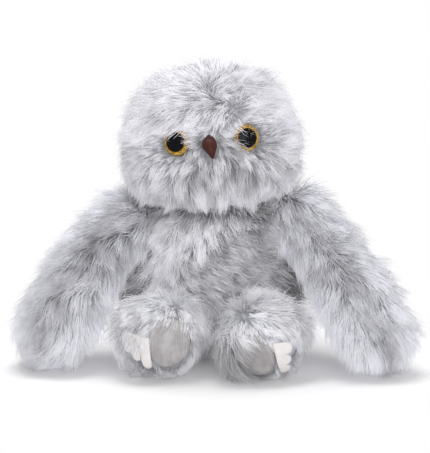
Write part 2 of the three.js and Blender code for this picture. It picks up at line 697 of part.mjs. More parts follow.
const frontShell = cut(
  join(
    cut(slab(unitWidth, unitHeight, UNIT_CORNER, 0, splitY), slab(...inner, UNIT_WALL, splitY + 1)),
    ...atCorners(BOSS_RADIUS, UNIT_WALL - JOIN, splitY, BOSS_SIDES),
    speakerSeat,
    ...boardStands,
  ),
  ...atCorners(SCREW_RADIUS + FIT / 2, boreEnd, splitY + 1, HOLE_SIDES),
  rod(BUTTON_STEM + FIT, -1, UNIT_WALL + 1, 0, buttonZ),
  ...grilleHoles(),
);
unit.add(toMesh("sound_unit_front_shell", frontShell, CASE_LOOK));

const slotWidth = KNOB_WIDTH + KNOB_TRAVEL + 2 * FIT;
const doorScrewZ = bayCentre + (bayHeight + DOOR_SCREW_LEDGE) / 2;

const backShell = cut(
  join(
    cut(
      slab(unitWidth, unitHeight, UNIT_CORNER, backStart, unitDepth),
      slab(...inner, backStart - 1, unitDepth - UNIT_WALL),
    ),
    ...atCorners(BOSS_RADIUS, backStart, unitDepth - 1, BOSS_SIDES),
    slab(bayWidth + 2 * BAY_WALL, bayHeight + 2 * BAY_WALL, 1, bayFloor - BAY_WALL, unitDepth - 1, bayCentre),
    slab(doorWidth + 2 * RIB, doorHeight + 2 * RIB, 1, doorY - 2 * BAY_WALL, unitDepth - 1, doorCentre),
    rod(BOSS_RADIUS, doorY - DOOR_SCREW_BITE - UNIT_WALL, doorY, 0, doorScrewZ, BOSS_SIDES),
  ),
  slab(bayWidth, bayHeight, 0.5, bayFloor, unitDepth + 1, bayCentre),
  slab(doorWidth + 2 * FIT, doorHeight + 2 * FIT, 0.8, doorY - FIT, unitDepth + 1, doorCentre),
  rod(SCREW_RADIUS + FIT / 2, doorY - DOOR_SCREW_BITE - RIB, doorY + 1, 0, doorScrewZ, HOLE_SIDES),
  slab(slotWidth, KNOB_HEIGHT + 2 * FIT, 0.5, doorY - 1, unitDepth + 1, knobZ, KNOB_TRAVEL / 2),
  ...atCorners(SCREW_RADIUS + FIT, backStart - 1, unitDepth + 1, HOLE_SIDES),
  ...atCorners(SCREW_HEAD_RADIUS + FIT, headBed, unitDepth + 1, BOSS_SIDES),
);
unit.add(toMesh("sound_unit_back_shell", backShell, CASE_LOOK));

const batteryDoor = cut(
  slab(doorWidth, doorHeight, 0.6, doorY, unitDepth, doorCentre),
  rod(SCREW_RADIUS + FIT, doorY - 1, unitDepth + 1, 0, doorScrewZ, BOSS_SIDES),
);
unit.add(toMesh("battery_door", batteryDoor, CASE_LOOK));

// A cross-headed screw with its head's underside at y, driven towards -Y.
function screw(y, bite, x, z) {
  const head = turnedAlongY([
    [0, y - bite], [SCREW_RADIUS, y - bite + 1], [SCREW_RADIUS, y],
    [SCREW_HEAD_RADIUS, y], [SCREW_HEAD_RADIUS * 0.8, y + SCREW_HEAD_THICK], [0, y + SCREW_HEAD_THICK],
  ], 12, x, z);
  const top = y + SCREW_HEAD_THICK;
  const slot = (w, h) => block(x - w, x + w, top - CROSS_DEPTH, top + 1, z - h, z + h);
  return cut(head, slot(CROSS_ARM, CROSS_HALF), slot(CROSS_HALF, CROSS_ARM));
}

const headY = headBed + FIT;
corners.forEach(([x, z], i) => {
  unit.add(toMesh(`housing_screw_${i + 1}`, screw(headY, headY - splitY + SCREW_BITE, x, z), STEEL_LOOK));
});

// A coil of wire along z, wound at a steady rate from one radius to another.
function coil([radiusLow, radiusHigh], low, high, turns, wire, x, y) {
  const steps = 8 * turns;
  const centres = Array.from({ length: steps + 1 }, (_, i) => {
    const share = i / steps;
    const angle = 2 * Math.PI * turns * share;
    const radius = THREE.MathUtils.lerp(radiusLow, radiusHigh, share);
    const height = THREE.MathUtils.lerp(low, high, share);
    return new Vector3(x + radius * Math.cos(angle), y + radius * Math.sin(angle), height);
  });
  const radii = centres.map(() => wire / 2);
  return skin(ringsAlong(centres, radii, 4), centres[0], centres.at(-1));
}

const bayLow = bayCentre - bayHeight / 2;
const bayHigh = bayCentre + bayHeight / 2;
const cellY = bayFloor + FIT + CELL_RADIUS;
const plateX = bayWidth / 2 - FIT;
for (const [name, z] of [["lower", bayLow + FIT], ["upper", bayHigh - FIT - CONTACT_THICK]]) {
  const plate = block(-plateX, plateX, bayFloor + FIT, bayFloor + FIT + 9, z, z + CONTACT_THICK);
  unit.add(toMesh(name + "_contact_strip", plate, STEEL_LOOK));
}

// The middle cell stands the other way up, so the three are in series.
for (let i = 0; i < CELL_COUNT; i++) {
  const x = (i - (CELL_COUNT - 1) / 2) * CELL_PITCH;
  const up = i % 2 === 0;
  const coilLow = up ? bayLow + 2 * FIT + CONTACT_THICK : bayHigh - 2 * FIT - CONTACT_THICK - CONTACT_COIL;
  const cellLow = up ? coilLow + CONTACT_COIL + FIT : bayLow + 2 * FIT + CONTACT_THICK + CELL_NUB;
  const nub = up ? cellLow + CELL_LENGTH : cellLow - CELL_NUB;
  const cellHigh = cellLow + CELL_LENGTH;
  const rim = CELL_RADIUS - CELL_EDGE;
  const profile = [
    [0, cellLow], [rim, cellLow], [CELL_RADIUS, cellLow + CELL_EDGE],
    [CELL_RADIUS, cellHigh - CELL_EDGE], [rim, cellHigh], [0, cellHigh],
  ];
  const cell = toSolid(turned(profile, ROD_SIDES).translate(x, cellY, 0));
  const nubLow = up ? nub - JOIN : nub;
  const nubHigh = nubLow + CELL_NUB + JOIN;
  const nubShape = turned(column(CELL_NUB_RADIUS, nubLow, nubHigh), BOSS_SIDES);
  const nubbed = join(cell, toSolid(nubShape.translate(x, cellY, 0)));
  unit.add(toMesh(`battery_${i + 1}`, nubbed, CELL_LOOK));
  const ends = up ? COIL_RADII : [...COIL_RADII].reverse();
  const inside = CONTACT_WIRE / 2;
  const winding = coil(ends, coilLow + inside, coilLow + CONTACT_COIL - inside, 2.5, CONTACT_WIRE, x, cellY);
  unit.add(toMesh(`battery_contact_coil_${i + 1}`, toSolid(winding), STEEL_LOOK));
}

unit.add(toMesh("battery_door_screw", screw(unitDepth + FIT, DOOR_SCREW_BITE, 0, doorScrewZ), STEEL_LOOK));

// Speaker: a steel basket with its magnet, and a paper cone inside it.
const throat = MAGNET_RADIUS - 2;
const basket = turnedAlongY([
  [SPEAKER_RADIUS - 2, rimY], [SPEAKER_RADIUS, rimY], [SPEAKER_RADIUS, rimY + 1.2],
  [SPEAKER_RADIUS - 1.6, rimY + 1.2], [MAGNET_RADIUS, rimY + 7], [MAGNET_RADIUS, rimY + SPEAKER_DEPTH],
  [0, rimY + SPEAKER_DEPTH], [0, rimY + 7.8], [throat, rimY + 7], [SPEAKER_RADIUS - 2, rimY + 1],
  [SPEAKER_RADIUS - 2, rimY],
], SPEAKER_SIDES, 0, speakerZ);
unit.add(toMesh("speaker_basket", basket, STEEL_LOOK));
const coneEdge = SPEAKER_RADIUS - 2 - FIT;
const cone = turnedAlongY([
  [0, rimY + 5.2], [3.5, rimY + 5.6], [coneEdge - 2, rimY + 0.9], [coneEdge, rimY + 0.3],
  [coneEdge, rimY + 0.7], [throat - 1, rimY + 6.3], [0, rimY + 7.4],
], SPEAKER_SIDES, 0, speakerZ);
unit.add(toMesh("speaker_cone", cone, PAPER_LOOK));

const boardX = BOARD_WIDTH / 2;
const board = slab(BOARD_WIDTH, BOARD_HEIGHT, 1, BOARD_Y, BOARD_Y + BOARD_THICK, boardZ);
unit.add(toMesh("circuit_board", board, BOARD_LOOK));
const chipY = BOARD_Y + BOARD_THICK + FIT;
const chip = slab(...CHIP_SIZE, CHIP_CORNER, chipY, chipY + CHIP_THICK, boardZ - 4, 8 - boardX);
unit.add(toMesh("sound_chip", chip, PAPER_LOOK));

// The tactile switch behind the button, and the button's own return coil round its stem.
const tactBack = BOARD_Y - FIT;
const tact = slab(TACT_SIZE, TACT_SIZE, CHIP_CORNER, tactBack - TACT_THICK, tactBack, buttonZ);
unit.add(toMesh("tactile_switch", tact, PAPER_LOOK));
const capY = -FIT - BUTTON_TRAVEL - 0.6;
const stemEnd = tactBack - TACT_THICK - FIT - BUTTON_TRAVEL;
const clipY = UNIT_WALL + FIT;
const pressButton = turnedAlongY([
  [0, capY - BUTTON_CAP], [BUTTON_RADIUS - 1.5, capY - BUTTON_CAP], [BUTTON_RADIUS, capY - BUTTON_CAP / 2],
  [BUTTON_RADIUS, capY], [BUTTON_STEM, capY], [BUTTON_STEM, clipY], [BUTTON_STEM + 1.2, clipY],
  [BUTTON_STEM + 0.6, clipY + 1], [BUTTON_STEM - 0.4, clipY + 1.4],
  [BUTTON_STEM - 0.4, stemEnd], [0, stemEnd],
], SPEAKER_SIDES, 0, buttonZ);
unit.add(toMesh("press_button", pressButton, KEY_LOOK));
const springRadius = BUTTON_STEM + 1.4;
const [springLow, springHigh] = [capY + FIT + SPRING_WIRE / 2, -FIT - SPRING_WIRE / 2];
const spring = coil([springRadius, springRadius], springLow, springHigh, 3, SPRING_WIRE, 0, 0);
spring.rotateX(-Math.PI / 2);
unit.add(toMesh("button_spring", toSolid(spring.translate(0, 0, buttonZ)), STEEL_LOOK));

// The on-off slider: its knob shows in the back, its leg works the small switch on the board.
const canBack = chipY + SWITCH_DEPTH;
const can = slab(...SWITCH_SIZE, CHIP_CORNER, chipY, canBack, knobZ, KNOB_TRAVEL / 2);
unit.add(toMesh("slide_switch", can, STEEL_LOOK));
const [kw, kh] = [KNOB_WIDTH / 2, KNOB_HEIGHT / 2];
const flangeY = unitDepth - UNIT_WALL - FIT;
const knob = join(
  block(-kw, kw, flangeY - 0.5, unitDepth + KNOB_PROUD, knobZ - kh, knobZ + kh),
  block(-kw - 2, kw + 2, flangeY - 1.4, flangeY, knobZ - kh - 1, knobZ + kh + 1),
  block(-1, 1, canBack + FIT, flangeY - 1, knobZ - 1, knobZ + 1),
);
unit.add(toMesh("power_slider", knob, KEY_LOOK));

// Wadding of the body, with the pocket that the sound unit stands in and the soft pad behind it.
const pocketX = unitWidth / 2 + SEAM;
const pocket = block(
  -pocketX, pocketX, unitY - SEAM, FAR,
  unitZ - unitHeight / 2 - SEAM, unitZ + unitHeight / 2 + SEAM,
);
const buttonRoom = rod(BUTTON_RADIUS + 1, unitY + capY - BUTTON_CAP - SEAM, unitY + 1, 0, unitZ + buttonZ);
const filling = cut(bodyForm(FUR + SEAM, CORE_SIDES, 6), headInPlace(-FUR - SWING - SEAM));
const neckRoom = join(
  inNeck(plug(DISC_RADIUS + SEAM, bodySeat - DISC_THICK - SEAM, -5)),
  inNeck(plug(LOCK_RADIUS + SEAM, lockTop - LOCK_THICK - SEAM, bodySeat)),
  inNeck(plug(POST_RADIUS + SEAM, postEnd - SEAM, bodySeat)),
);
const tapeRoom = common(
  layer(-2, loopStart + TAPE_THICK + SEAM),
  block(-tapeX - SEAM, tapeX + SEAM, BODY_Y, FAR, tabFoot - SEAM, tapeTop + SEAM),
);
// The flap's top corners dip a little as it swings, so the wadding keeps back from them.
const hingeRoom = block(
  -windowX, windowX, backingDepth(half) - HINGE_ROOM, FAR, flapTop - TAPE_HEIGHT, flapTop + FLAP_GAP,
);
const bodyWadding = cut(filling, pocket, buttonRoom, neckRoom, tapeRoom, hingeRoom);
toy.add(toMesh("body_stuffing", bodyWadding, WADDING_LOOK));

const padBlock = block(
  -pocketX + SEAM, pocketX - SEAM, unitY + unitDepth + SCREW_HEAD_THICK + FIT + SEAM, FAR,
  unitZ - unitHeight / 2, unitZ + unitHeight / 2,
);
toy.add(toMesh("pocket_pad", cut(common(filling, padBlock), tapeRoom), WADDING_LOOK));

// Wings, each a fur sleeve sewn shut over its wadding and filled through a hole at the shoulder.
const headClear = headInPlace(-SWING);
const shoulderBalls = sides.map(([side]) => ball(SHOULDERS[side], SHOULDER_RADIUS));
const bodyClear = cut(bodyForm(-SWING, BODY_SIDES, 8), ...shoulderBalls);
for (const [side, sign] of sides) {
  const bend = new Vector3(...WING_BENDS[side], WING_BEND_HEIGHT);
  const line = [SHOULDERS[side], bend, new Vector3(...WING_TIPS[side], tipHeight)];
  const radii = [SHOULDER_RADIUS, WING_RADIUS, WING_TIP_RADIUS, WING_TIP_RADIUS];
  const inward = new Vector3(-sign, 0, 0);
  const mouthEnd = line[0].clone().addScaledVector(inward, SHOULDER_RADIUS * 1.2);
  const mouth = (radius) => {
    return toSolid(skin(ringsAlong([line[0], mouthEnd], [radius, radius], 8), line[0], mouthEnd));
  };
  const outside = cut(limb(line, radii, 0, LIMB_SIDES, 5, 3), BELOW_FLOOR, headClear, bodyClear);
  const sleeve = cut(outside, limb(line, radii, FUR, 8, 4, 2), mouth(MOUTH_RADIUS));
  toy.add(toMesh(side + "_wing_fur", sleeve, FUR_LOOK));
  const fillingEnd = ball(line[0], SHOULDER_RADIUS - 1, 12);
  const mouthFilling = common(mouth(MOUTH_RADIUS - SEAM), fillingEnd);
  const wadding = join(limb(line, radii, FUR + SEAM, 8, 4, 2), mouthFilling);
  toy.add(toMesh(side + "_wing_stuffing", wadding, WADDING_LOOK));
}

// Feet. In the frame of a sole it faces -Y. In the frame of the talons they hang towards -Z.
function soleMatrix({ centre, dip, turn }) {
  const tip = new THREE.Matrix4().makeRotationX(dip);
  const yaw = new THREE.Matrix4().makeRotationZ(turn);
  return new THREE.Matrix4().makeTranslation(centre).multiply(yaw).multiply(tip);
}

function soleSolid(grow, y0, y1, matrix) {
  const oval = turned([[0, y0], [1, y0], [1, y1], [0, y1]], 18).rotateX(-Math.PI / 2);
  oval.scale(SOLE_WIDTH / 2 + grow, 1, SOLE_HEIGHT / 2 + grow);
  return toSolid(oval.applyMatrix4(matrix));
}

// The talons are one felt piece laid on the round of the foot: it hangs from its sewn top edge, and round
// lobes make its lower edge. Each ring of points is a section of it at one heading from -Y towards -X.
function talons(side, grow) {
  const { roll, start, top, rise, length, step, slant } = TALONS[side];
  const last = TALON_STEPS * TALON_COUNT;
  const rings = [];
  for (let i = 0; i <= last; i++) {
    const along = i / TALON_STEPS;
    const across = 2 * (Math.min(along, TALON_COUNT - 1e-6) % 1) - 1;
    const round = 1 - Math.sqrt(1 - (TALON_ROUNDNESS * across) ** 2);
    const high = top + rise * along + grow;
    const low = top - length + step * (along - 0.5) + TALON_NOTCH * round - grow;
    const ends = i === 0 ? -1 : i === last ? 1 : 0;
    const heading = start + along * TALON_PITCH + (ends * grow) / FOOT_RADIUS;
    const levels = [high, (high + low) / 2, low];
    const section = (out) => levels.map((level) => {
      const surface = Math.sqrt(FOOT_RADIUS ** 2 - level ** 2) + 1;
      const radius = out ? surface + grow : surface - TALON_THICK - grow;
      const angle = heading - (slant * (high - level)) / length;
      return new Vector3(-radius * Math.sin(angle), -radius * Math.cos(angle), level);
    });
    rings.push([...section(true), ...section(false).reverse()]);
  }
  const middle = (ring) => ring.reduce((sum, p) => sum.add(p), new Vector3()).divideScalar(ring.length);
  const felt = skin(rings, middle(rings[0]), middle(rings.at(-1))).rotateY(-roll);
  return toSolid(felt.translate(FEET[side].centre));
}

for (const [side, sign] of sides) {
  const matrix = soleMatrix(FEET[side]);
  const line = [mirrored(HIP, sign), FEET[side].centre];
  const radii = [HIP_RADIUS, FOOT_RADIUS];
  const soleFace = -FOOT_RADIUS + SOLE_DEPTH;
  const soleBack = soleFace + SOLE_THICK;
  const throatEnd = -FOOT_RADIUS + FUR + 4;
  const legSkin = cut(
    limb(line, radii, 0, LIMB_SIDES, 2, 4),
    BELOW_FLOOR,
    limb(line, radii, FUR, 8, 2, 2),
    soleSolid(SEAM, -FAR, soleBack + FIT, matrix),
    soleSolid(-SOLE_HEM, soleBack - 1, throatEnd, matrix),
    talons(side, FIT),
  );
  toy.add(toMesh(side + "_leg_fur", legSkin, FUR_LOOK));
  const wadding = join(
    limb(line, radii, FUR + SEAM, 8, 2, 2),
    soleSolid(-SOLE_HEM - SEAM, soleBack + FIT, throatEnd, matrix),
  );
  toy.add(toMesh(side + "_leg_stuffing", wadding, WADDING_LOOK));
  const patch = cut(soleSolid(0, soleFace, soleBack, matrix), talons(side, FIT));
  toy.add(toMesh(side + "_sole_patch", patch, SUEDE_LOOK));
  toy.add(toMesh(side + "_talons", talons(side, 0), FELT_LOOK));
}

export default toy;
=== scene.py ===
"""A seated grey long-pile plush owl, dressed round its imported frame. Metres, +Z up, the toy faces -Y."""
import json
import math

import bmesh
import bpy
import numpy as np
from mathutils import Matrix, Vector


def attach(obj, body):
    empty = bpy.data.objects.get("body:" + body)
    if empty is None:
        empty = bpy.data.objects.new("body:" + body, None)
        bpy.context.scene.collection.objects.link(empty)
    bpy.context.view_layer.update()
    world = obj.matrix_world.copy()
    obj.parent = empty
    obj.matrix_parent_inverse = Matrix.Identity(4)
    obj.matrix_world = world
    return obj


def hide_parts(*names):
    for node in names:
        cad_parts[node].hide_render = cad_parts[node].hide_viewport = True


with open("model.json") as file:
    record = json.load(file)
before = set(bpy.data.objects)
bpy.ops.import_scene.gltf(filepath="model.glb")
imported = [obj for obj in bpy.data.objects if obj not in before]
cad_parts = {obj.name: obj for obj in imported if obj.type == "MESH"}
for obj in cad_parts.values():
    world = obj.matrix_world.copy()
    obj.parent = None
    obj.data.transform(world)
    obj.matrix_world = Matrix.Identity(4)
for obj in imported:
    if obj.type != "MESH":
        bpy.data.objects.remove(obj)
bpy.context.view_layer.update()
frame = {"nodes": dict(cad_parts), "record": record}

# Camera: it stands as for the photograph, in front of the toy and a little above it, and looks at the toy's
# middle through a long lens.
VIEW_TARGET = Vector((0.0009, 0.0, 0.1168))
VIEW_HEIGHT = math.radians(9)
VIEW_DISTANCE = 1.5
LENS, SENSOR = 132, 36

camera = bpy.data.objects.new("camera", bpy.data.cameras.new("camera"))
bpy.context.collection.objects.link(camera)
camera.location = VIEW_TARGET + VIEW_DISTANCE * Vector((0, -math.cos(VIEW_HEIGHT), math.sin(VIEW_HEIGHT)))
camera.rotation_euler = (VIEW_TARGET - camera.location).to_track_quat("-Z", "Y").to_euler()
camera.data.lens = LENS
camera.data.sensor_width = SENSOR
bpy.context.scene.camera = camera
bpy.context.scene.view_settings.view_transform = "Standard"


# Floor and studio: a plain pale floor that goes over into white away from the toy, under soft light from
# above and in front. Every material is written with the small class below.
class Wire:
    """A socket in a node tree. Arithmetic on wires adds Math nodes, or Vector Math nodes for vectors."""

    def __init__(self, tree, socket):
        self.tree, self.socket = tree, socket

    def is_vector(self):
        return self.socket.type in ("VECTOR", "RGBA", "ROTATION")

    def work(self, operation, *others, swap=False):
        values = [self, *others]
        if swap:
            values.reverse()
        vectors = [v.is_vector() if isinstance(v, Wire) else isinstance(v, (tuple, Vector)) for v in values]
        if not any(vectors):
            return self.tree.add("ShaderNodeMath", {"operation": operation}, *values)
        if operation == "MULTIPLY" and not all(vectors):
            vector, number = values if vectors[0] else values[::-1]
            return self.tree.add("ShaderNodeVectorMath", {"operation": "SCALE"}, vector, Scale=number)
        return self.tree.add("ShaderNodeVectorMath", {"operation": operation}, *values)

    def __add__(self, other):
        return self.work("ADD", other)

    __radd__ = __add__

    def __sub__(self, other):
        return self.work("SUBTRACT", other)

    def __rsub__(self, other):
        return self.work("SUBTRACT", other, swap=True)

    def __mul__(self, other):
        return self.work("MULTIPLY", other)

    __rmul__ = __mul__

    def __truediv__(self, other):
        return self.work("DIVIDE", other)

    def __pow__(self, other):
        return self.work("POWER", other)

    def least(self, other):
        return self.work("MINIMUM", other)

    def sine(self):
        return self.work("SINE")

    def clamp(self, low=0.0, high=1.0):
        return self.tree.add("ShaderNodeClamp", None, self, low, high)

    def dot(self, other):
        return self.tree.add("ShaderNodeVectorMath", {"operation": "DOT_PRODUCT"}, self, other, out="Value")

    def cross(self, other):
        return self.tree.add("ShaderNodeVectorMath", {"operation": "CROSS_PRODUCT"}, self, other)

    def length(self):
        return self.tree.add("ShaderNodeVectorMath", {"operation": "LENGTH"}, self, out="Value")

    def unit(self):
        return self.work("NORMALIZE")

    def parts(self):
        outputs = self.tree.add("ShaderNodeSeparateXYZ", None, self).socket.node.outputs
        return [Wire(self.tree, output) for output in outputs]


class Tree:
    """A node tree that is written as expressions."""

    def __init__(self, nodes, links):
        self.nodes, self.links = nodes, links

    def add(self, kind, settings=None, *values, out=0, **named):
        node = self.nodes.new(kind)
        for key, value in (settings or {}).items():
            setattr(node, key, value)
        enabled = [socket for socket in node.inputs if socket.enabled]
        for socket, value in [*zip(enabled, values), *((self.named(node, k), v) for k, v in named.items())]:
            if isinstance(value, Wire):
                self.links.new(value.socket, socket)
            elif value is not None:
                socket.default_value = value
        outputs = [socket for socket in node.outputs if socket.enabled]
        if not outputs:
            return None
        return Wire(self, outputs[out] if isinstance(out, int) else next(o for o in outputs if o.name == out))

    @staticmethod
    def named(node, key):
        wanted = key.replace("_", " ").lower()
        return next(s for s in node.inputs if s.enabled and s.name.lower() == wanted)

    def mix(self, factor, a, b, blend="MIX"):
        settings = {"data_type": "RGBA", "clamp_factor": True, "blend_type": blend}
        a, b = [(*v, 1) if isinstance(v, tuple) and len(v) == 3 else v for v in (a, b)]
        return self.add("ShaderNodeMix", settings, Factor=factor, A=a, B=b, out="Result")

    def step(self, value, low, high):
        """0 up to low and 1 from high on, with a smooth rise between."""
        return self.add("ShaderNodeMapRange", {"interpolation_type": "SMOOTHSTEP"}, value, low, high)

    def noise(self, where, scale, detail=3.0, roughness=0.5):
        return self.add("ShaderNodeTexNoise", None, Vector=where, Scale=scale, Detail=detail, Roughness=roughness)


def linear(*rgb):
    """A colour as it is seen on a screen, 0 to 255, in the numbers that a shader takes."""
    return tuple((c / 255 / 12.92) if c <= 10 else ((c / 255 + 0.055) / 1.055) ** 2.4 for c in rgb)


def new_material(name):
    material = bpy.data.materials.new(name)
    material.use_nodes = True
    material.node_tree.nodes.clear()
    return material, Tree(material.node_tree.nodes, material.node_tree.links)


def surface(name, build, **constants):
    """A material of one Principled shader. build gives its colour, roughness and height as expressions."""
    material, tree = new_material(name)
    varying = build(tree, tree.add("ShaderNodeTexCoord", None, out="Object"))
    height, relief = varying.pop("height", None), varying.pop("relief", 0.0002)
    if height is not None:
        varying["Normal"] = tree.add("ShaderNodeBump", None, Strength=0.6, Distance=relief, Height=height)
    shader = tree.add("ShaderNodeBsdfPrincipled", None, **constants, **varying)
    tree.add("ShaderNodeOutputMaterial", None, Surface=shader)
    return material


def direct_view(tree):
    """1 for what the camera sees, also in glossy and clear things, and 0 for light on its way to them."""
    camera_ray, glossy_ray, clear_ray = (tree.add("ShaderNodeLightPath", None, out="Is %s Ray" % kind)
                                         for kind in ("Camera", "Glossy", "Transmission"))
    return (camera_ray + glossy_ray + clear_ray).clamp()



FLOOR_COLOUR = (0.82, 0.82, 0.825, 1)
FLOOR_REACH = 12.0
SHADOW_CENTRE, SHADOW_REACH, SHADOW_EDGE = (0.0, -0.03, 0.0), (0.185, 0.125), (0.95, 1.6)

floor_material, tree = new_material("studio_floor")
where = tree.add("ShaderNodeTexCoord", None, out="Object")
seen = direct_view(tree)
spread = (where - SHADOW_CENTRE) * (1 / SHADOW_REACH[0], 1 / SHADOW_REACH[1], 0.0)
away = tree.step(spread.length(), *SHADOW_EDGE)
painted = tree.add("ShaderNodeBsdfDiffuse", None, Color=FLOOR_COLOUR)
white = tree.add("ShaderNodeEmission", None, Color=(1, 1, 1, 1), Strength=1.0)
blended = tree.add("ShaderNodeMixShader", None, seen * away, painted, white)
tree.add("ShaderNodeOutputMaterial", None, Surface=blended)

bpy.ops.mesh.primitive_plane_add(size=FLOOR_REACH)
floor = bpy.context.object
floor.name = "studio_floor"
floor.data.materials.append(floor_material)

WORLD_LIGHT = 0.68

world = bpy.data.worlds.new("studio")
bpy.context.scene.world = world
world.use_nodes = True
world.node_tree.nodes.clear()
tree = Tree(world.node_tree.nodes, world.node_tree.links)
seen = direct_view(tree)
around = tree.add("ShaderNodeBackground", None, Color=(1, 1, 1, 1), Strength=WORLD_LIGHT)
behind = tree.add("ShaderNodeBackground", None, Color=(1, 1, 1, 1), Strength=1.0)
backdrop = tree.add("ShaderNodeMixShader", None, seen, around, behind)
tree.add("ShaderNodeOutputWorld", None, Surface=backdrop)

LIT_POINT = Vector((0, 0, 0.1))
LIGHTS = (("overhead_light", (-0.1, 0.2, 1.35), 0.9, 12.0), ("front_light", (0.3, -2.0, 0.5), 1.6, 25.0))

for name, place, size, power in LIGHTS:
    lamp = bpy.data.lights.new(name, "AREA")
    lamp.shape = "DISK"
    lamp.size, lamp.energy = size, power
    light = bpy.data.objects.new(name, lamp)
    bpy.context.collection.objects.link(light)
    light.location = place
    light.rotation_euler = (LIT_POINT - light.location).to_track_quat("-Z", "Y").to_euler()

# Fur fabric: a knitted backing that carries a long soft pile. The backing is the skin of each part, this far
# inside the outline of the standing pile, and locks of pile grow from it by Geometry Nodes.
MM = 0.001
SKIN_DEPTH = 7 * MM
CLOTH_THICK = 2.5 * MM
SWIRL_WAVES, SWIRL_HEIGHT = 6, 2.4



def unit(rows):
    return rows / np.maximum(np.linalg.norm(rows, axis=-1, keepdims=True), 1e-9)


def smooth(value, low, high):
    t = np.clip((value - low) / (high - low), 0, 1)
    return t * t * (3 - 2 * t)


def new_piece(name, points, faces):
    """A mesh piece with its faces turned outwards."""
    mesh = bpy.data.meshes.new(name)
    mesh.from_pydata([tuple(p) for p in points], [], [tuple(int(i) for i in face) for face in faces])
    body = bmesh.new()
    body.from_mesh(mesh)
    bmesh.ops.recalc_face_normals(body, faces=body.faces)
    body.to_mesh(mesh)
    body.free()
    mesh.shade_smooth()
    piece = bpy.data.objects.new(name, mesh)
    bpy.context.collection.objects.link(piece)
    return piece


def ring_faces(rows, columns, wrap=True, keep=None):
    """The quads between rows of points that are numbered row by row."""
    faces = []
    for r in range(rows - 1):
        for c in range(columns if wrap else columns - 1):
            if keep is None or keep[r][c]:
                d = (c + 1) % columns
                faces.append((r * columns + c, r * columns + d, (r + 1) * columns + d, (r + 1) * columns + c))
    return faces


def pole_faces(rows, columns):
    """Triangles that close the first and the last row with two more points."""
    first, last, end = rows * columns, rows * columns + 1, (rows - 1) * columns
    turn = [(c, (c + 1) % columns) for c in range(columns)]
    return [(first, d, c) for c, d in turn] + [(last, end + c, end + d) for c, d in turn]


def closed_skin(name, rings, first, last):
    rings = np.asarray(rings)
    rows, columns = rings.shape[:2]
    points = np.vstack([rings.reshape(-1, 3), [first], [last]])
    return new_piece(name, points, ring_faces(rows, columns) + pole_faces(rows, columns))


def cloth_shell(name, outside, inside, faces):
    """A layer of cloth between two sheets of points with the same faces, closed along its open edges."""
    count = len(outside)
    edges = {(a, b) for face in faces for a, b in zip(face, face[1:] + face[:1])}
    open_edges = [(a, b) for a, b in edges if (b, a) not in edges]
    walls = [(b, a, a + count, b + count) for a, b in sorted(open_edges)]
    lining = [tuple(i + count for i in reversed(face)) for face in faces]
    return new_piece(name, np.vstack([outside, inside]), faces + lining + walls)


def turned_rings(profile, sides):
    """Rings about +Z from [radius, height] pairs."""
    angles = np.linspace(0, 2 * math.pi, sides, endpoint=False)
    return [[(r * math.cos(a), r * math.sin(a), h) for a in angles] for r, h in profile]


def vertices(piece):
    """The places and normals of a piece's vertices, one row each."""
    mesh = piece.data
    places, normals = np.empty(3 * len(mesh.vertices)), np.empty(3 * len(mesh.vertices))
    mesh.vertices.foreach_get("co", places)
    mesh.vertices.foreach_get("normal", normals)
    return places.reshape(-1, 3), normals.reshape(-1, 3)


def move_vertices(piece, places):
    piece.data.vertices.foreach_set("co", places.ravel())
    piece.data.update()


def swirl(places, seed, span, strength):
    """A slow change of direction over a skin, as hands leave it in long pile."""
    dice = np.random.default_rng(seed)
    field = 0
    for _ in range(SWIRL_WAVES):
        wave = dice.normal(size=3) / span
        field = field + np.sin(places @ wave + dice.uniform(0, 6.28))[:, None] * dice.normal(size=3)
    return strength * field / SWIRL_HEIGHT


def combed_over(comb, share, way):
    """The comb, turned over to another way by a share at each vertex."""
    return unit(comb) * (1 - share[:, None]) + share[:, None] * way


def lock_mesh():
    """One lock of pile: three-sided, tapered and closed. Its UV runs from root to tip."""
    sides, levels, widths = 3, (0.0, 0.5), (0.8, 1.0)
    angles = [2 * math.pi * i / sides for i in range(sides)]
    points = [(w * math.cos(a), w * math.sin(a), 0.0) for w in widths for a in angles] + [(0, 0, 0)]
    faces, maps = [(2, 1, 0)], [[(1.0, 0.0), (0.5, 0.04), (0.0, 0.0)]]
    for i in range(sides):
        j = (i + 1) % sides
        u, v = i / sides, (i + 1) / sides
        faces += [(i, j, sides + j, sides + i), (sides + i, sides + j, 2 * sides)]
        maps += [[(u, 0.0), (v, 0.0), (v, 0.5), (u, 0.5)], [(u, 0.5), (v, 0.5), ((u + v) / 2, 1.0)]]
    mesh = bpy.data.meshes.new("pile_lock")
    mesh.from_pydata(points, [], faces)
    mesh.uv_layers.new(name="OFBake").data.foreach_set("uv", [c for face in maps for uv in face for c in uv])
    along = mesh.attributes.new("along", "FLOAT", "POINT")
    along.data.foreach_set("value", [level for level in levels for _ in range(sides)] + [1.0])
    mesh.shade_smooth()
    piece = bpy.data.objects.new("pile_lock", mesh)
    bpy.context.collection.objects.link(piece)
    return piece


# The longest hairs end here: at the floor, and where the toy's pile stops at each side and above.
PILE_SPACE = (-194 * MM, 193 * MM), (-140 * MM, 89 * MM), (0.6 * MM, 282 * MM)
PILE = {"Locks per square metre": 1.05e6, "Tufts per square metre": 2.4e4, "Width": 0.27 * MM, "Stand": 0.36,
        "Tousle": 0.42}
# How one lock differs from the next, as shares of what is usual on its skin.
LENGTHS, STANDS, STEEPEST, WIDTHS, DRAWS = (0.72, 1.08), (0.4, 1.6), 0.95, (0.75, 1.2), (0.4, 1.15)
GUARD_HAIR = 0.35
# How light the pile is, and how much of that changes from lock to lock and from tuft to tuft.
PILE_TONE, LOCK_TONE, TUFT_TONE = 0.46, 0.32, 0.36


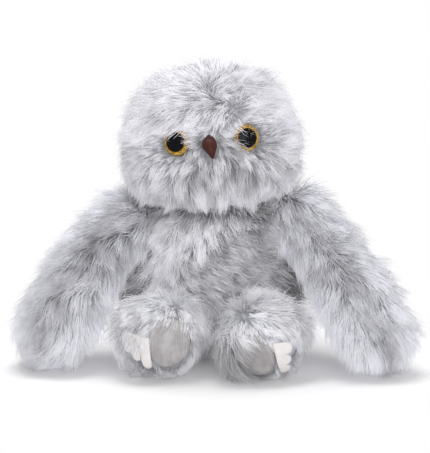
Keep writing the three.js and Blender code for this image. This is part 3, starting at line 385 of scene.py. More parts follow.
def pile_tree():
    """The pile: points over a skin, each with a lock that leans with the comb and is drawn into a tuft."""
    group = bpy.data.node_groups.new("pile", "GeometryNodeTree")
    kinds = {"Skin": "Geometry", "Lock": "Object", **dict.fromkeys(PILE, "Float"), "Seed": "Int",
             "Finish": "Material"}
    for name, kind in kinds.items():
        socket = group.interface.new_socket(name, in_out="INPUT", socket_type="NodeSocket" + kind)
        if name in PILE:
            socket.default_value = PILE[name]
    group.interface.new_socket("Pile", in_out="OUTPUT", socket_type="NodeSocketGeometry")
    tree = Tree(group.nodes, group.links)
    source = group.nodes.new("NodeGroupInput")

    def given(name):
        return Wire(tree, source.outputs[name])

    def read(name, kind="FLOAT"):
        return tree.add("GeometryNodeInputNamedAttribute", {"data_type": kind}, name)

    def store(geometry, name, value, kind="FLOAT_VECTOR", domain="POINT"):
        settings = {"data_type": kind, "domain": domain}
        return tree.add("GeometryNodeStoreNamedAttribute", settings, geometry, None, name, value)

    def rand(kind, low, high, seed):
        return tree.add("FunctionNodeRandomValue", {"data_type": kind}, Min=low, Max=high, Seed=given("Seed") + seed)

    def scatter(density, seed):
        """Points on the skin, each with where its lock starts, how far it rises and how far it runs."""
        points = tree.add("GeometryNodeDistributePointsOnFaces", None, given("Skin"), Density=density,
                          Seed=given("Seed") + seed)
        outward = Wire(tree, points.socket.node.outputs["Normal"])
        guard = GUARD_HAIR * rand("FLOAT", 0, 1, seed + 4) ** 8.0
        length = read("pile") * (rand("FLOAT", *LENGTHS, seed + 1) + guard)
        sway = rand("FLOAT_VECTOR", (-1, -1, -1), (1, 1, 1), seed + 2) * given("Tousle")
        stand = (given("Stand") * read("stand") * rand("FLOAT", *STANDS, seed + 5)).least(STEEPEST)
        points = store(points, "outward", outward)
        points = store(points, "root", tree.add("GeometryNodeInputPosition"))
        points = store(points, "rise", read("outward", "FLOAT_VECTOR") * (length * stand))
        lean = (read("comb", "FLOAT_VECTOR") + sway).unit()
        reach = length * ((1.0 - stand * stand) ** 0.5)
        points = store(points, "run", lean * reach)
        points = store(points, "fall", read("outward", "FLOAT_VECTOR") * (reach * reach * read("curve")))
        return store(points, "shade", rand("FLOAT", 0.0, 1.0, seed + 3), "FLOAT")

    tufts = scatter(given("Tufts per square metre") * read("fineness"), 50)
    sown = (read("thick") * 3.0).least(1.0)
    locks = scatter(given("Locks per square metre") * read("panel") * sown, 0)
    nearest = tree.add("GeometryNodeSampleNearest", {"domain": "POINT"}, tufts,
                       tree.add("GeometryNodeInputPosition"))

    def from_tuft(name, kind="FLOAT_VECTOR"):
        settings = {"data_type": kind, "domain": "POINT"}
        return tree.add("GeometryNodeSampleIndex", settings, tufts, read(name, kind), nearest)

    for name in ("root", "rise", "run", "fall"):
        locks = store(locks, "tuft_" + name, from_tuft(name))
    # A lock's tone, less what is written on the skin: darker pile, painted shade and painted light.
    tone = PILE_TONE + read("shade") * LOCK_TONE + from_tuft("shade", "FLOAT") * TUFT_TONE - read("dusk")
    locks = store(locks, "tone", tone, "FLOAT")
    locks = store(locks, "draw", read("tuft") * rand("FLOAT", *DRAWS, 33), "FLOAT")
    lean = read("rise", "FLOAT_VECTOR") + read("run", "FLOAT_VECTOR")
    facing = tree.add("FunctionNodeAlignRotationToVector", {"axis": "Z"}, None, 1.0, lean)
    lock = tree.add("GeometryNodeObjectInfo", None, given("Lock"), out="Geometry")
    thick = given("Width") * read("thick") * rand("FLOAT", *WIDTHS, 34)
    placed = tree.add("GeometryNodeInstanceOnPoints", None, locks, None, lock, Rotation=facing, Scale=thick)
    made = tree.add("GeometryNodeRealizeInstances", None, placed)

    along = read("along")
    up, over = along * (1.5 - along * 0.5), along * (0.5 + along * 0.5)

    def way(prefix):
        """How far a lock is from its root here, from its rise, its run and its fall."""
        rise, run, fall = (read(prefix + name, "FLOAT_VECTOR") for name in ("rise", "run", "fall"))
        return rise * up + run * over - fall * (over * over)

    own = way("")
    towards = read("tuft_root", "FLOAT_VECTOR") - read("root", "FLOAT_VECTOR") + way("tuft_") - own
    shift = own + towards * (read("draw") * along ** 1.2)
    made = tree.add("GeometryNodeSetPosition", None, made, None, None, shift)
    kept = [value.clamp(low, high)
            for value, (low, high) in zip(tree.add("GeometryNodeInputPosition").parts(), PILE_SPACE)]
    made = tree.add("GeometryNodeSetPosition", None, made, None, tree.add("ShaderNodeCombineXYZ", None, *kept))
    # The map holds a lock's tone across, and its way from root to tip upwards, a little inside the square.
    old_u, old_v, _ = read("OFBake", "FLOAT_VECTOR").parts()
    across = read("tone").clamp() * 0.9 + old_u * 0.06 + 0.02
    chart = tree.add("ShaderNodeCombineXYZ", None, across, old_v * 0.96 + 0.02, 0.0)
    made = store(made, "OFBake", chart, "FLOAT2", "CORNER")
    for name in ("outward", "root", "rise", "run", "fall", "shade", "tuft_root", "tuft_rise", "tuft_run",
                 "tuft_fall", "tone", "draw", "along", "comb", "pile", "stand", "curve", "panel", "thick", "dusk",
                 "tuft", "fineness"):
        made = tree.add("GeometryNodeRemoveAttribute", None, made, name)
    made = tree.add("GeometryNodeSetMaterial", None, made, None, given("Finish"))
    result = group.nodes.new("NodeGroupOutput")
    group.links.new(made.socket, result.inputs[0])
    return group


pile_lock = lock_mesh()
pile_group = pile_tree()


# Painted light: the pile glows by itself this much, in place of the light that fine fibres scatter among themselves,
# which so few thick locks would lose. Then the colour of the darkest locks as a share of the lightest ones', and
# how far the pile is lit as the round form under it.
PILE_GLOW, PILE_DARKEST, PILE_ROUNDED = 0.32, (0.2, 0.2, 0.205), 0.65



def fur_material(name, root, tip, spine):
    """Soft pile, darker in its depth, that takes the light as the round form under it does, with a painted glow."""
    material, tree = new_material(name)
    tone, along, _ = tree.add("ShaderNodeUVMap", {"uv_map": "OFBake"}).parts()
    colour = tree.mix(tree.step(along, 0.1, 0.75), root, tip)
    shade = tree.mix(tone, PILE_DARKEST, (1.0, 1.0, 1.0))
    colour = tree.mix(1.0, colour, shade, "MULTIPLY")
    glow = tree.mix(1.0, colour, 0.4 + 0.6 * tree.step(along, 0.0, 0.9), "MULTIPLY")
    # The light that a hair lets through has one colour. The mix lets less of it through where the hair is darker.
    passed = colour.dot((1 / sum(tip),) * 3)
    rest = (2.0 - passed) ** -1.0
    where = tree.add("ShaderNodeTexCoord", None, out="Object")
    start, axis = Vector(spine[0]), Vector(spine[1]) - Vector(spine[0])
    share = ((where - tuple(start)).dot(tuple(axis)) / axis.length_squared).clamp()
    outward = (where - tuple(start) - share * tuple(axis)).unit()
    turned = {"vector_type": "NORMAL", "convert_from": "OBJECT", "convert_to": "WORLD"}
    outward = tree.add("ShaderNodeVectorTransform", turned, outward)
    own = tree.add("ShaderNodeNewGeometry", None, out="Normal")
    normal = (outward * PILE_ROUNDED + own * (1 - PILE_ROUNDED)).unit()
    hair = tree.add("ShaderNodeBsdfPrincipled", None, Base_Color=colour * rest, Roughness=0.6,
                    Specular_IOR_Level=0.2, Emission_Color=glow * rest, Emission_Strength=2 * PILE_GLOW,
                    Normal=normal)
    through = tree.add("ShaderNodeBsdfTranslucent", None, Color=(*tip, 1), Normal=normal)
    mixed = tree.add("ShaderNodeMixShader", None, 0.5 * passed, hair, through)
    tree.add("ShaderNodeOutputMaterial", None, Surface=mixed)
    return material


def knit_backing(tree, where):
    rows = tree.add("ShaderNodeTexWave", {"wave_type": "BANDS"}, Vector=where, Scale=900.0, Distortion=2.0)
    colour = tree.mix(tree.noise(where, 260.0), linear(178, 178, 185), linear(200, 200, 207))
    return {"Base_Color": colour, "height": rows, "Roughness": 0.95}


backing_material = surface("fur_backing", knit_backing, Specular_IOR_Level=0.1)


def finish_piece(piece, material, body, node):
    """Gives a piece its material, the body that it rides on and the node that it stands for."""
    piece.data.materials.append(material)
    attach(piece, body)
    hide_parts(node)


def finish_skin(piece, body, node):
    finish_piece(piece, backing_material, body, node)



def set_groom(piece, comb, roundness, **values):
    """Writes on a skin how its pile lies, and how long, steep, thick and tufted it is, and how much its tone is
    darkened by darker pile and painted shade, less where painted light lightens it. roundness is the radius that
    the skin curves with under the pile, which follows it."""
    _, normals = vertices(piece)
    comb = unit(comb - normals * np.sum(comb * normals, axis=1, keepdims=True))
    piece.data.attributes.new("comb", "FLOAT_VECTOR", "POINT").data.foreach_set("vector", comb.ravel())
    values["curve"] = 0.5 / np.asarray(roundness)
    for name, usual in (("curve", 0.0), ("pile", 24 * MM), ("stand", 1.0), ("thick", 1.0), ("dusk", 0.0),
                        ("tuft", 0.68), ("fineness", 0.9)):
        value = np.broadcast_to(values.get(name, usual), len(comb)).astype(float)
        piece.data.attributes.new(name, "FLOAT", "POINT").data.foreach_set("value", value)


def grow_pile(name, skin, panel, body, material, seed):
    """One panel of pile on a skin, as a plain mesh that rides on the skin's body."""
    coat = skin.copy()
    coat.data = skin.data.copy()
    bpy.context.collection.objects.link(coat)
    values = np.broadcast_to(panel, len(coat.data.vertices)).astype(float)
    coat.data.attributes.new("panel", "FLOAT", "POINT").data.foreach_set("value", values)
    modifier = coat.modifiers.new("pile", "NODES")
    modifier.node_group = pile_group
    inputs = {"Lock": pile_lock, "Seed": seed, "Finish": material, **PILE}
    for item in pile_group.interface.items_tree:
        if item.in_out == "INPUT" and item.name in inputs:
            modifier[item.identifier] = inputs[item.name]
    ready = coat.evaluated_get(bpy.context.evaluated_depsgraph_get())
    mesh = bpy.data.meshes.new_from_object(ready)
    mesh.name = name
    bpy.data.objects.remove(coat)
    piece = bpy.data.objects.new(name, mesh)
    bpy.context.collection.objects.link(piece)
    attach(piece, body)
    return piece


# Head: fur fabric sewn into a ball over loose filling. The pile is parted at the middle of the brow and
# about the beak: it sweeps up over the crown, outwards on the cheeks and down into a beard.
HEAD_RADIUS, HEAD_CROWN, HEAD_CHIN = 80 * MM, 76 * MM, 52 * MM
CHIN_SQUARENESS = 3
FACE_DEPTH = 13 * MM
HEAD_AT, HEAD_LEAN = (0, -6 * MM, 138 * MM), math.radians(-3.3)
HEAD_PLACE = Matrix.Translation(HEAD_AT) @ Matrix.Rotation(HEAD_LEAN, 4, "Y")
EYE_SPREAD = {"left": 30 * MM, "right": -27 * MM}
EYE_LEVEL, EYE_RADIUS = 64 * MM, 12 * MM
EYE_SPLAY, EYE_LIFT = math.radians(20), math.radians(6)
BEAK_LEVEL = 60 * MM


def face_depth(x, level):
    """How far in front of the neck's axis the backing of the face lies."""
    radius = HEAD_RADIUS - FACE_DEPTH
    rise = (level - HEAD_CHIN) / (HEAD_CROWN - FACE_DEPTH)
    return math.sqrt(radius * radius * (1 - rise * rise) - x * x)


def head_profile(inset, steps):
    radius = HEAD_RADIUS - inset
    profile = []
    for i in range(1, 2 * steps):
        angle = (math.pi / 2) * (i / steps - 1)
        power = 2 / CHIN_SQUARENESS if angle < 0 else 1
        reach = (HEAD_CHIN if angle < 0 else HEAD_CROWN) - inset
        rise = math.copysign(abs(math.sin(angle)) ** power, angle)
        profile.append((radius * math.cos(angle) ** power, HEAD_CHIN + reach * rise))
    return profile


head_rings = turned_rings(head_profile(SKIN_DEPTH, 34), 120)
head_skin = closed_skin("head_skin", head_rings, (0, 0, SKIN_DEPTH), (0, 0, HEAD_CHIN + HEAD_CROWN - SKIN_DEPTH))
head_local, head_normals = vertices(head_skin)

# The skin is drawn in under the eyes and the beak, where their washers pull on it.
left_eye_at, right_eye_at = (np.array([spread, -face_depth(spread, EYE_LEVEL), EYE_LEVEL])
                             for spread in EYE_SPREAD.values())
beak_at = np.array([0, -face_depth(0, BEAK_LEVEL), BEAK_LEVEL + 2 * MM])
sink = np.zeros(len(head_local))
for at, near, far in ((left_eye_at, 13, 26), (right_eye_at, 13, 26), (beak_at, 9, 22)):
    sink = np.maximum(sink, 1 - smooth(np.linalg.norm(head_local - at, axis=1), near * MM, far * MM))
head_local = head_local - head_normals * sink[:, None] * (FACE_DEPTH - SKIN_DEPTH + 0.3 * MM)
turn = np.array(HEAD_PLACE)
move_vertices(head_skin, head_local @ turn[:3, :3].T + turn[:3, 3])
finish_skin(head_skin, "head", "head_fur")

# The comb: away from the brow above and from the beak's root below, and straight down behind. Hands have
# tousled it a little.
x, y, z = head_local.T
front = smooth(-y, 15 * MM, 45 * MM)
brow_at = np.array([10 * MM, -face_depth(10 * MM, 98 * MM) - 6 * MM, 98 * MM])
root_at = np.array([0, beak_at[1] - 6 * MM, 67 * MM])
upper = smooth(z, 62 * MM, 84 * MM)
comb = combed_over(head_local - root_at, upper, unit(head_local - brow_at))
rear = smooth(y, -10 * MM, 45 * MM)[:, None]
comb = comb * (1 - rear) + np.array([0, 0.1, -1.0]) * rear
below = smooth(EYE_LEVEL - z, 2 * MM, 30 * MM) * (1 - 0.6 * smooth(np.abs(x), 35 * MM, 60 * MM))
comb = unit(comb) * (1 - 0.6 * below[:, None]) + below[:, None] * np.array([0, 0, -0.8])
comb = comb + swirl(head_local, 11, 13 * MM, 0.35)
comb = comb + swirl(head_local, 12, 4 * MM, 0.25)

# The whorl: short pile that stands up and crosses at the brow.
whorl = 1 - smooth(np.linalg.norm((head_local - brow_at) * [0.8, 1, 1], axis=1), 6 * MM, 26 * MM)
crossing = unit(swirl(head_local, 16, 6 * MM, 1.0) + np.array([-0.3, 0, 0.1]))
comb = combed_over(comb, 0.9 * whorl * front, crossing)

# Length and stand: shorter over the beak and under the chin, flatter at the crown, the temples and behind.
bridge = 1 - smooth(np.linalg.norm(head_local - root_at, axis=1), 14 * MM, 40 * MM)
chin = 1 - smooth(z, 4 * MM, 30 * MM)
comb = comb + chin[:, None] * front[:, None] * np.array([0, 0.9, 0])
pile = 30 * MM * (1 - 0.5 * bridge) * (1 - 0.5 * whorl) * (1 - 0.6 * chin)
stand = 1 + 0.6 * whorl - 0.4 * smooth(z, 104 * MM, 118 * MM) - 0.45 * smooth(np.abs(x), 42 * MM, 62 * MM)

# About each eye the pile is short and combed off the ring, except on the side that it falls over.
thick = np.ones(len(head_local))
for at, over in ((left_eye_at, (-1, 0, 0)), (right_eye_at, (0.7, 0, 0.7))):
    gap = head_local - at
    distance = np.linalg.norm(gap, axis=1)
    outer = 1 - smooth(unit(gap * [1, 0, 1]) @ np.array(over), 0.3, 0.8)
    close = np.exp(-((np.maximum(distance - EYE_RADIUS, 0) / (9 * MM)) ** 2))
    comb = unit(comb) + (close * 0.9 * outer)[:, None] * unit(gap)
    comb = comb - (close * (1 - outer) * 0.2)[:, None] * unit(gap)
    pile = pile * (1 - 0.62 * close * outer)
    stand = stand + close * (0.5 + 0.1 * (1 - outer))
    thick = thick * smooth(distance, 11.6 * MM, 12.8 * MM)
thick = thick * smooth(np.linalg.norm((head_local - beak_at) * [1.5, 1, 0.85], axis=1), 8.5 * MM, 10 * MM)

# Darker pile: speckled in the whorl, in a spot above one eye, and in patches of the beard. Painted shade darkens it
# at the bridge of the beak, in a band on one cheek beside the beak and under the chin.
beard = front * smooth(EYE_LEVEL - z, 10 * MM, 26 * MM) * (1 - smooth(np.abs(x), 45 * MM, 66 * MM))
spot = np.exp(-(np.linalg.norm(head_local[:, [0, 2]] - [-35 * MM, 86 * MM], axis=1) / (5 * MM)) ** 2) * front
cheek_shade = np.exp(-(((x - 16 * MM) / (6 * MM)) ** 2))
cheek_shade = cheek_shade * smooth(-z, -66 * MM, -58 * MM) * smooth(z, 30 * MM, 44 * MM)
patches = smooth(swirl(head_local, 14, 7 * MM, 1.0)[:, 0], 0.35, 1.1)
speckle = 0.5 + 0.5 * np.clip(swirl(head_local, 15, 4 * MM, 1.5)[:, 1], -1, 1)
dusk = 0.4 * whorl * speckle + 0.95 * spot + front * (0.1 * bridge + 0.2 * cheek_shade + 0.3 * beard * patches)
dusk = dusk + 0.3 * front * (1 - smooth(z, 6 * MM, 20 * MM)) + 0.12 * beard
# Painted light: the upper face is made lighter, less so in the whorl.
dusk = dusk - (0.42 - 0.2 * whorl) * upper * front - 0.08
stand = stand - 0.2 * smooth(y, 0, 30 * MM)
set_groom(head_skin, comb @ turn[:3, :3].T, 76 * MM, pile=pile, stand=stand, thick=thick, dusk=dusk,
          tuft=0.64 + 0.24 * beard, fineness=1 - 0.6 * beard)

FUR_ROOT, FUR_TIP = linear(200, 200, 207), linear(250, 249, 253)
head_spine = (tuple(HEAD_PLACE @ Vector((0, 0, 40 * MM))), tuple(HEAD_PLACE @ Vector((0, 0, 80 * MM))))
head_pile_material = fur_material("head_pile", FUR_ROOT, FUR_TIP, head_spine)
behind = smooth(y, -6 * MM, 6 * MM)
to_left = smooth(x, -6 * MM, 6 * MM)
for i, (name, panel) in enumerate((("face_pile_left", (1 - behind) * to_left),
                                   ("face_pile_right", (1 - behind) * (1 - to_left)),
                                   ("head_back_pile", behind * 0.55))):
    grow_pile(name, head_skin, panel, "head", head_pile_material, 100 + i)

# Eyes: safety eyes of moulded plastic, each a glossy dome with a black pupil in an amber ring. Its shank goes
# through the face, and a washer pushed on from inside holds it.
EYE_RIM, EYE_DOME, EYE_EDGE, EYE_SEAT = 2 * MM, 6.5 * MM, 0.3 * MM, 0.3 * MM
EYE_SHANK, EYE_SHANK_END = 2.2 * MM, -11 * MM
PUPIL_SHARE = 0.68



def face_place(x, level, splay, lift):
    """Where a piece stands in the face, its own +Z pointing out of it."""
    out = Matrix.Rotation(splay, 4, "Z") @ Matrix.Rotation(math.pi / 2 - lift, 4, "X")
    return HEAD_PLACE @ Matrix.Translation((x, -face_depth(x, level), level)) @ out


def eye_profile(steps=24):
    profile = [(EYE_SHANK, EYE_SHANK_END), (EYE_SHANK, EYE_SEAT), (EYE_RADIUS - EYE_EDGE, EYE_SEAT),
               (EYE_RADIUS, EYE_SEAT + 0.5 * MM)]
    for i in range(steps):
        angle = (math.pi / 2) * i / steps
        profile.append((EYE_RADIUS * math.cos(angle), EYE_SEAT + EYE_RIM + EYE_DOME * math.sin(angle)))
    return profile



def eye_material(name, centre, axis):
    def build(tree, where):
        radius = (where - tuple(centre)).cross(tuple(axis)).length() / EYE_RADIUS
        streaks = tree.noise(where, 500.0, 4.0, 0.65)
        amber = tree.mix(tree.step(streaks, 0.35, 0.65), linear(124, 92, 34), linear(192, 156, 78))
        ring = tree.mix(tree.step(radius, 0.93, 1.0), amber, linear(104, 78, 36))
        ring = tree.mix(tree.step(radius, PUPIL_SHARE + 0.07, PUPIL_SHARE), ring, linear(72, 52, 22))
        pupil = tree.step(radius, PUPIL_SHARE + 0.02, PUPIL_SHARE - 0.02)
        return {"Base_Color": tree.mix(pupil, ring, linear(6, 6, 9)), "Roughness": 0.1 + 0.1 * streaks}
    return surface(name, build, Specular_IOR_Level=0.09)


for side, sign in (("left", 1), ("right", -1)):
    place = face_place(EYE_SPREAD[side], EYE_LEVEL, sign * EYE_SPLAY, EYE_LIFT)
    top = EYE_SEAT + EYE_RIM + EYE_DOME
    eye = closed_skin(side + "_eye_dome", turned_rings(eye_profile(), 56), (0, 0, EYE_SHANK_END), (0, 0, top))
    eye.data.transform(place)
    plastic = eye_material(side + "_eye_plastic", place.translation, place.col[2].xyz)
    finish_piece(eye, plastic, "head", side + "_eye")

# Beak: a short hooked nose of hard brown plastic, moulded with a shank that goes through the face to a washer
# behind. Its tip hangs a little to one side.
BEAK_WIDTH, BEAK_LENGTH, BEAK_REACH = 13 * MM, 22 * MM, 15 * MM
BEAK_ABOVE, BEAK_HOOK = 0.42, 0.86
BEAK_RISE, BEAK_BOW, BEAK_TURN, BEAK_SEAT = 3 * MM, -1 * MM, 2 * MM, 0.3 * MM
BEAK_SLIM, BEAK_SWELL = 0.74, 0.34



def beak_rings(sides=40, steps=22):
    root = -face_depth(0, BEAK_LEVEL) - BEAK_SEAT
    level = BEAK_LEVEL + BEAK_RISE
    start = np.array([0, root, level])
    bend = np.array([BEAK_BOW, root - BEAK_REACH, level])
    tip = np.array([BEAK_TURN, root - BEAK_HOOK * BEAK_REACH, level + (BEAK_ABOVE - 1) * BEAK_LENGTH])
    shares = np.sin(np.linspace(0, math.pi / 2, steps + 1))[:-1]
    rings = []
    for t in shares:
        centre = (1 - t) ** 2 * start + 2 * t * (1 - t) * bend + t * t * tip
        tangent = unit((1 - t) * (bend - start) + t * (tip - bend))
        across = np.array([1.0, 0, 0])
        over = np.cross(tangent, across)
        radius = BEAK_WIDTH / 2 * math.sqrt(1 - t * t)
        wide = radius * (BEAK_SLIM + BEAK_SWELL * math.sin(math.pi * min(1.0, 1.1 * t)))
        angles = np.linspace(0, 2 * math.pi, sides, endpoint=False)
        ring = np.array([centre + wide * math.cos(a) * across + radius * math.sin(a) * over for a in angles])
        ring[:, 1] = np.minimum(ring[:, 1], root)
        rings.append(ring)
    return rings, start, tip


def horn(tree, where):
    grain = tree.noise(where * (1.0, 1.0, 0.35), 420.0, 5.0, 0.6)
    mottle = tree.noise(where, 130.0)
    colour = tree.mix(grain * 0.6 + mottle * 0.4, linear(20, 9, 7), linear(84, 40, 30))
    return {"Base_Color": colour, "Roughness": 0.45 + 0.2 * grain, "height": grain, "relief": 0.0003}


rings, start, tip = beak_rings()
beak = closed_skin("beak_horn", rings, start, tip)
beak.data.transform(HEAD_PLACE)
beak_plastic = surface("beak_plastic", horn, Specular_IOR_Level=0.12, Coat_Weight=0.05, Coat_Roughness=0.3)
finish_piece(beak, beak_plastic, "head", "beak")

# Body: a firmly stuffed pear of the same fabric, its pile combed down, and shorter and darker on the belly.
# Its back has a window for the flap, and its top is hollowed where the head sits.
BODY_Y = 8 * MM
BODY_RADIUS, BODY_TOP, BODY_DEPTH = 67 * MM, 176 * MM, 0.92
BODY_OUTLINE = ((0.75, 0.0), (0.955, 0.15), (1, 0.34), (0.925, 0.58), (0.75, 0.785), (0.42, 0.945))
FLAP_HALF, FLAP_LOW, FLAP_HIGH = 30.85 * MM, 35.9 * MM, 107.9 * MM
FLAP_GAP = 0.6 * MM
LOW_ROWS, WINDOW_ROWS, HIGH_ROWS, BODY_COLUMNS, FLAP_COLUMNS = 10, 19, 15, 96, 24
SKIN_FOOT, SKIN_END = 5.5 * MM, 150 * MM
LINING_FOOT, LINING_END = 8 * MM, 148 * MM


def body_radius(height):
    """The body's half width at a height, through the points of its outline."""
    radii, heights = np.array(BODY_OUTLINE).T
    shares = np.linspace(0, 1, 60)
    fitted = np.polynomial.Polynomial.fit(heights, radii, 4)(shares * heights[-1])
    return BODY_RADIUS * np.interp(height / BODY_TOP, shares * heights[-1], fitted)


def body_row(height, inset, half):
    """One ring of the body. A fixed number of its points crosses the flap at even distances."""
    radius = body_radius(height) - inset
    low = smooth(height, inset - 1 * MM, inset + 22 * MM)
    radius = radius * (0.66 + 0.34 * math.sqrt(low))
    reach = math.asin(min(0.8, half / radius))
    over_flap = [math.asin(math.sin(reach) * s) for s in np.linspace(-1, 1, FLAP_COLUMNS + 1)]
    rest = np.linspace(reach, 2 * math.pi - reach, BODY_COLUMNS - FLAP_COLUMNS + 1)[1:-1]
    angles = np.array([*over_flap, *rest])
    return np.stack([radius * np.sin(angles), radius * BODY_DEPTH * np.cos(angles) + BODY_Y,
                     np.full(len(angles), height)], axis=1)


def under_head(points, gap):
    """Presses points down to a gap below the head's outline."""
    inward = np.array(HEAD_PLACE.inverted())
    local = points @ inward[:3, :3].T + inward[:3, 3]
    share = np.clip(np.linalg.norm(local[:, :2], axis=1) / HEAD_RADIUS, 0, 1)
    floor_of_head = HEAD_CHIN * (1 - (1 - share ** CHIN_SQUARENESS) ** (1 / CHIN_SQUARENESS))
    pressed = points.copy()
    pressed[:, 2] -= np.maximum(0, local[:, 2] - (floor_of_head - gap)) * (share < 1)
    return pressed


def body_sheet(heights, inset, half, top, bottom):
    rows = np.array([body_row(h, inset, half) for h in heights]).reshape(-1, 3)
    points = np.vstack([rows, [[0, BODY_Y, bottom]], [[0, BODY_Y, top]]])
    return under_head(points, 1 * MM + inset - SKIN_DEPTH)


window_low, window_high = FLAP_LOW - FLAP_GAP, FLAP_HIGH + FLAP_GAP
heights = [*np.linspace(SKIN_DEPTH, window_low, LOW_ROWS, endpoint=False),
           *np.linspace(window_low, window_high, WINDOW_ROWS, endpoint=False),
           *np.linspace(window_high, SKIN_END, HIGH_ROWS)]
lower_row, upper_row = LOW_ROWS, LOW_ROWS + WINDOW_ROWS
keep = [[not (lower_row <= r < upper_row and c < FLAP_COLUMNS) for c in range(BODY_COLUMNS)]
        for r in range(len(heights) - 1)]
faces = ring_faces(len(heights), BODY_COLUMNS, keep=keep) + pole_faces(len(heights), BODY_COLUMNS)
outside = body_sheet(heights, SKIN_DEPTH, FLAP_HALF + FLAP_GAP, SKIN_END, SKIN_FOOT)
inside = body_sheet(np.clip(heights, SKIN_DEPTH + CLOTH_THICK, LINING_END), SKIN_DEPTH + CLOTH_THICK,
                    FLAP_HALF + FLAP_GAP, LINING_END, LINING_FOOT)
body_skin = cloth_shell("body_skin", outside, inside, faces)
finish_skin(body_skin, "torso", "body_fur")

places, normals = vertices(body_skin)
is_outside = np.arange(len(places)) < len(outside)
x, y, z = places.T

# The crest is an edge that rises from right to left. Under it the belly's pile is darker and combed sideways.
CREST = ((-60, 84), (-30, 97), (-8, 105), (10, 121), (31, 126), (70, 128))
crest = np.interp(x, *(np.array(CREST).T * MM))
crest = crest + 5 * MM * swirl(places, 23, 6 * MM, 1.0)[:, 2]
front = smooth(-y, 5 * MM, 25 * MM)
belly = smooth(crest - z, -1 * MM, 6 * MM) * smooth(x, -38 * MM, -20 * MM) * front
comb = np.array([0, -0.1, -1.0]) + np.stack([x / (220 * MM), 0 * x, 0 * x], axis=1)
sideways = belly * smooth(z, 40 * MM, 80 * MM)
comb = comb + sideways[:, None] * np.array([1.5, 0, 0.55])
comb = comb + swirl(places, 21, 13 * MM, 0.24) + swirl(places, 22, 5 * MM, 0.2)
# Painted shadow: a dark line just below the crest, as under an overhang.
edge = np.exp(-(((crest - z - 5 * MM) / (5 * MM)) ** 2)) * smooth(x, -40 * MM, -25 * MM) * front
# Painted shadow under the head, at the top of the chest.
throat_shadow = smooth(z, 126 * MM, 132 * MM)

# At the hips the pile is long and combed outwards. Painted shade darkens the sides, where the wings shade them, and
# the front low down by the floor.
hips = smooth(np.abs(x), 36 * MM, 58 * MM) * (1 - smooth(z, 84 * MM, 98 * MM)) * smooth(-y, -34 * MM, -14 * MM)
comb = comb + hips[:, None] * np.stack([np.sign(x), -0.3 + 0 * x, 0.2 + 0 * x], axis=1)
shaded = 0.75 * smooth(np.abs(x), 44 * MM, 54 * MM) * smooth(z, 40 * MM, 56 * MM)
shaded = shaded * (1 - smooth(z, 104 * MM, 124 * MM))
shaded = shaded * smooth(-y, -12 * MM, 2 * MM) + 0.4 * front * (1 - smooth(z, 20 * MM, 42 * MM))
covered = smooth(-normals[:, 2], 0.95, 0.75) * smooth(normals[:, 2], 0.9, 0.6)
# Painted light lightens the front pile outside the belly; painted shade from the crest, the head and the hips
# darkens it.
set_groom(body_skin, comb, 90 * MM, pile=(28 - 7 * belly + 14 * hips) * MM,
          dusk=0.2 * belly + 0.45 * edge - 0.36 * (1 - belly) * front + 0.6 * throat_shadow + shaded,
          stand=1.0 + 0.5 * smooth(z, 100 * MM, 125 * MM) + 0.25 * belly + 0.7 * hips, tuft=0.75 - 0.15 * belly,
          fineness=0.6 + 0.7 * belly)
body_spine = ((0, BODY_Y, 30 * MM), (0, BODY_Y, 115 * MM))
body_pile_material = fur_material("body_pile", linear(184, 182, 187), linear(247, 246, 250), body_spine)
behind = smooth(y, -5 * MM, 12 * MM)
to_left = smooth(x, -6 * MM, 6 * MM)
for i, (name, panel) in enumerate((("chest_pile_left", (1 - behind) * to_left),
                                   ("chest_pile_right", (1 - behind) * (1 - to_left)),
                                   ("back_pile", behind * 0.55))):
    grow_pile(name, body_skin, panel * is_outside * covered, "torso", body_pile_material, 200 + i)

# Back flap: a patch of the fur fabric that swings up about its top edge, over the sound unit's pocket. A tape
# with hooks holds its lower edge to a tab with loops.
FLAP_ROWS, FLAP_CLEAR = 20, 2.5 * MM
flap_heights = np.linspace(FLAP_LOW, FLAP_HIGH - FLAP_CLEAR, FLAP_ROWS)
sheets = []
for inset in (SKIN_DEPTH, SKIN_DEPTH + CLOTH_THICK):
    sheets.append(np.array([body_row(h, inset, FLAP_HALF)[:FLAP_COLUMNS + 1] for h in flap_heights]).reshape(-1, 3))
flap_faces = ring_faces(len(flap_heights), FLAP_COLUMNS + 1, wrap=False)
flap_skin = cloth_shell("flap_skin", *sheets, flap_faces)
finish_skin(flap_skin, "flap", "back_flap")
flap_places, _ = vertices(flap_skin)
flap_comb = np.array([0, 0.1, -1.0]) + swirl(flap_places, 21, 20 * MM, 0.4)
set_groom(flap_skin, flap_comb, 90 * MM, pile=25 * MM)
flap_outside = np.arange(len(flap_places)) < len(sheets[0])
grow_pile("flap_pile", flap_skin, flap_outside * 0.6, "flap", body_pile_material, 210)

# Wings: long stuffed sleeves of the same fabric, each with its rounded end in a dish of the body. The pile is
# parted down the front of each.
SHOULDERS = {"left": (77, 4, 122), "right": (-80, 4, 118)}
WING_BENDS = {"left": (110, -36, 84.18), "right": (-112, -22, 84.18)}
WING_TIPS = {"left": (141, -72, 33), "right": (-142, -52, 33)}
WING_RADII = (31, 29, 33, 33)
WING_DEPTH = 8.5 * MM
PARTING_WAY = np.array([0, -1.0, 0.45])


def curve_through(points, count):
    """Places and unit tangents along a smooth curve through the points."""
    points = np.array(points, float)
    ends = [2 * points[0] - points[1], *points, 2 * points[-1] - points[-2]]
    spans = len(points) - 1
    out = []
    for t in np.linspace(0, spans, count):
        i = min(int(t), spans - 1)
        u = t - i
        p0, p1, p2, p3 = ends[i:i + 4]
        out.append(0.5 * (2 * p1 + (p2 - p0) * u + (2 * p0 - 5 * p1 + 4 * p2 - p3) * u * u
                          + (3 * p1 - p0 - 3 * p2 + p3) * u ** 3))
    out = np.array(out)
    return out, unit(np.gradient(out, axis=0))


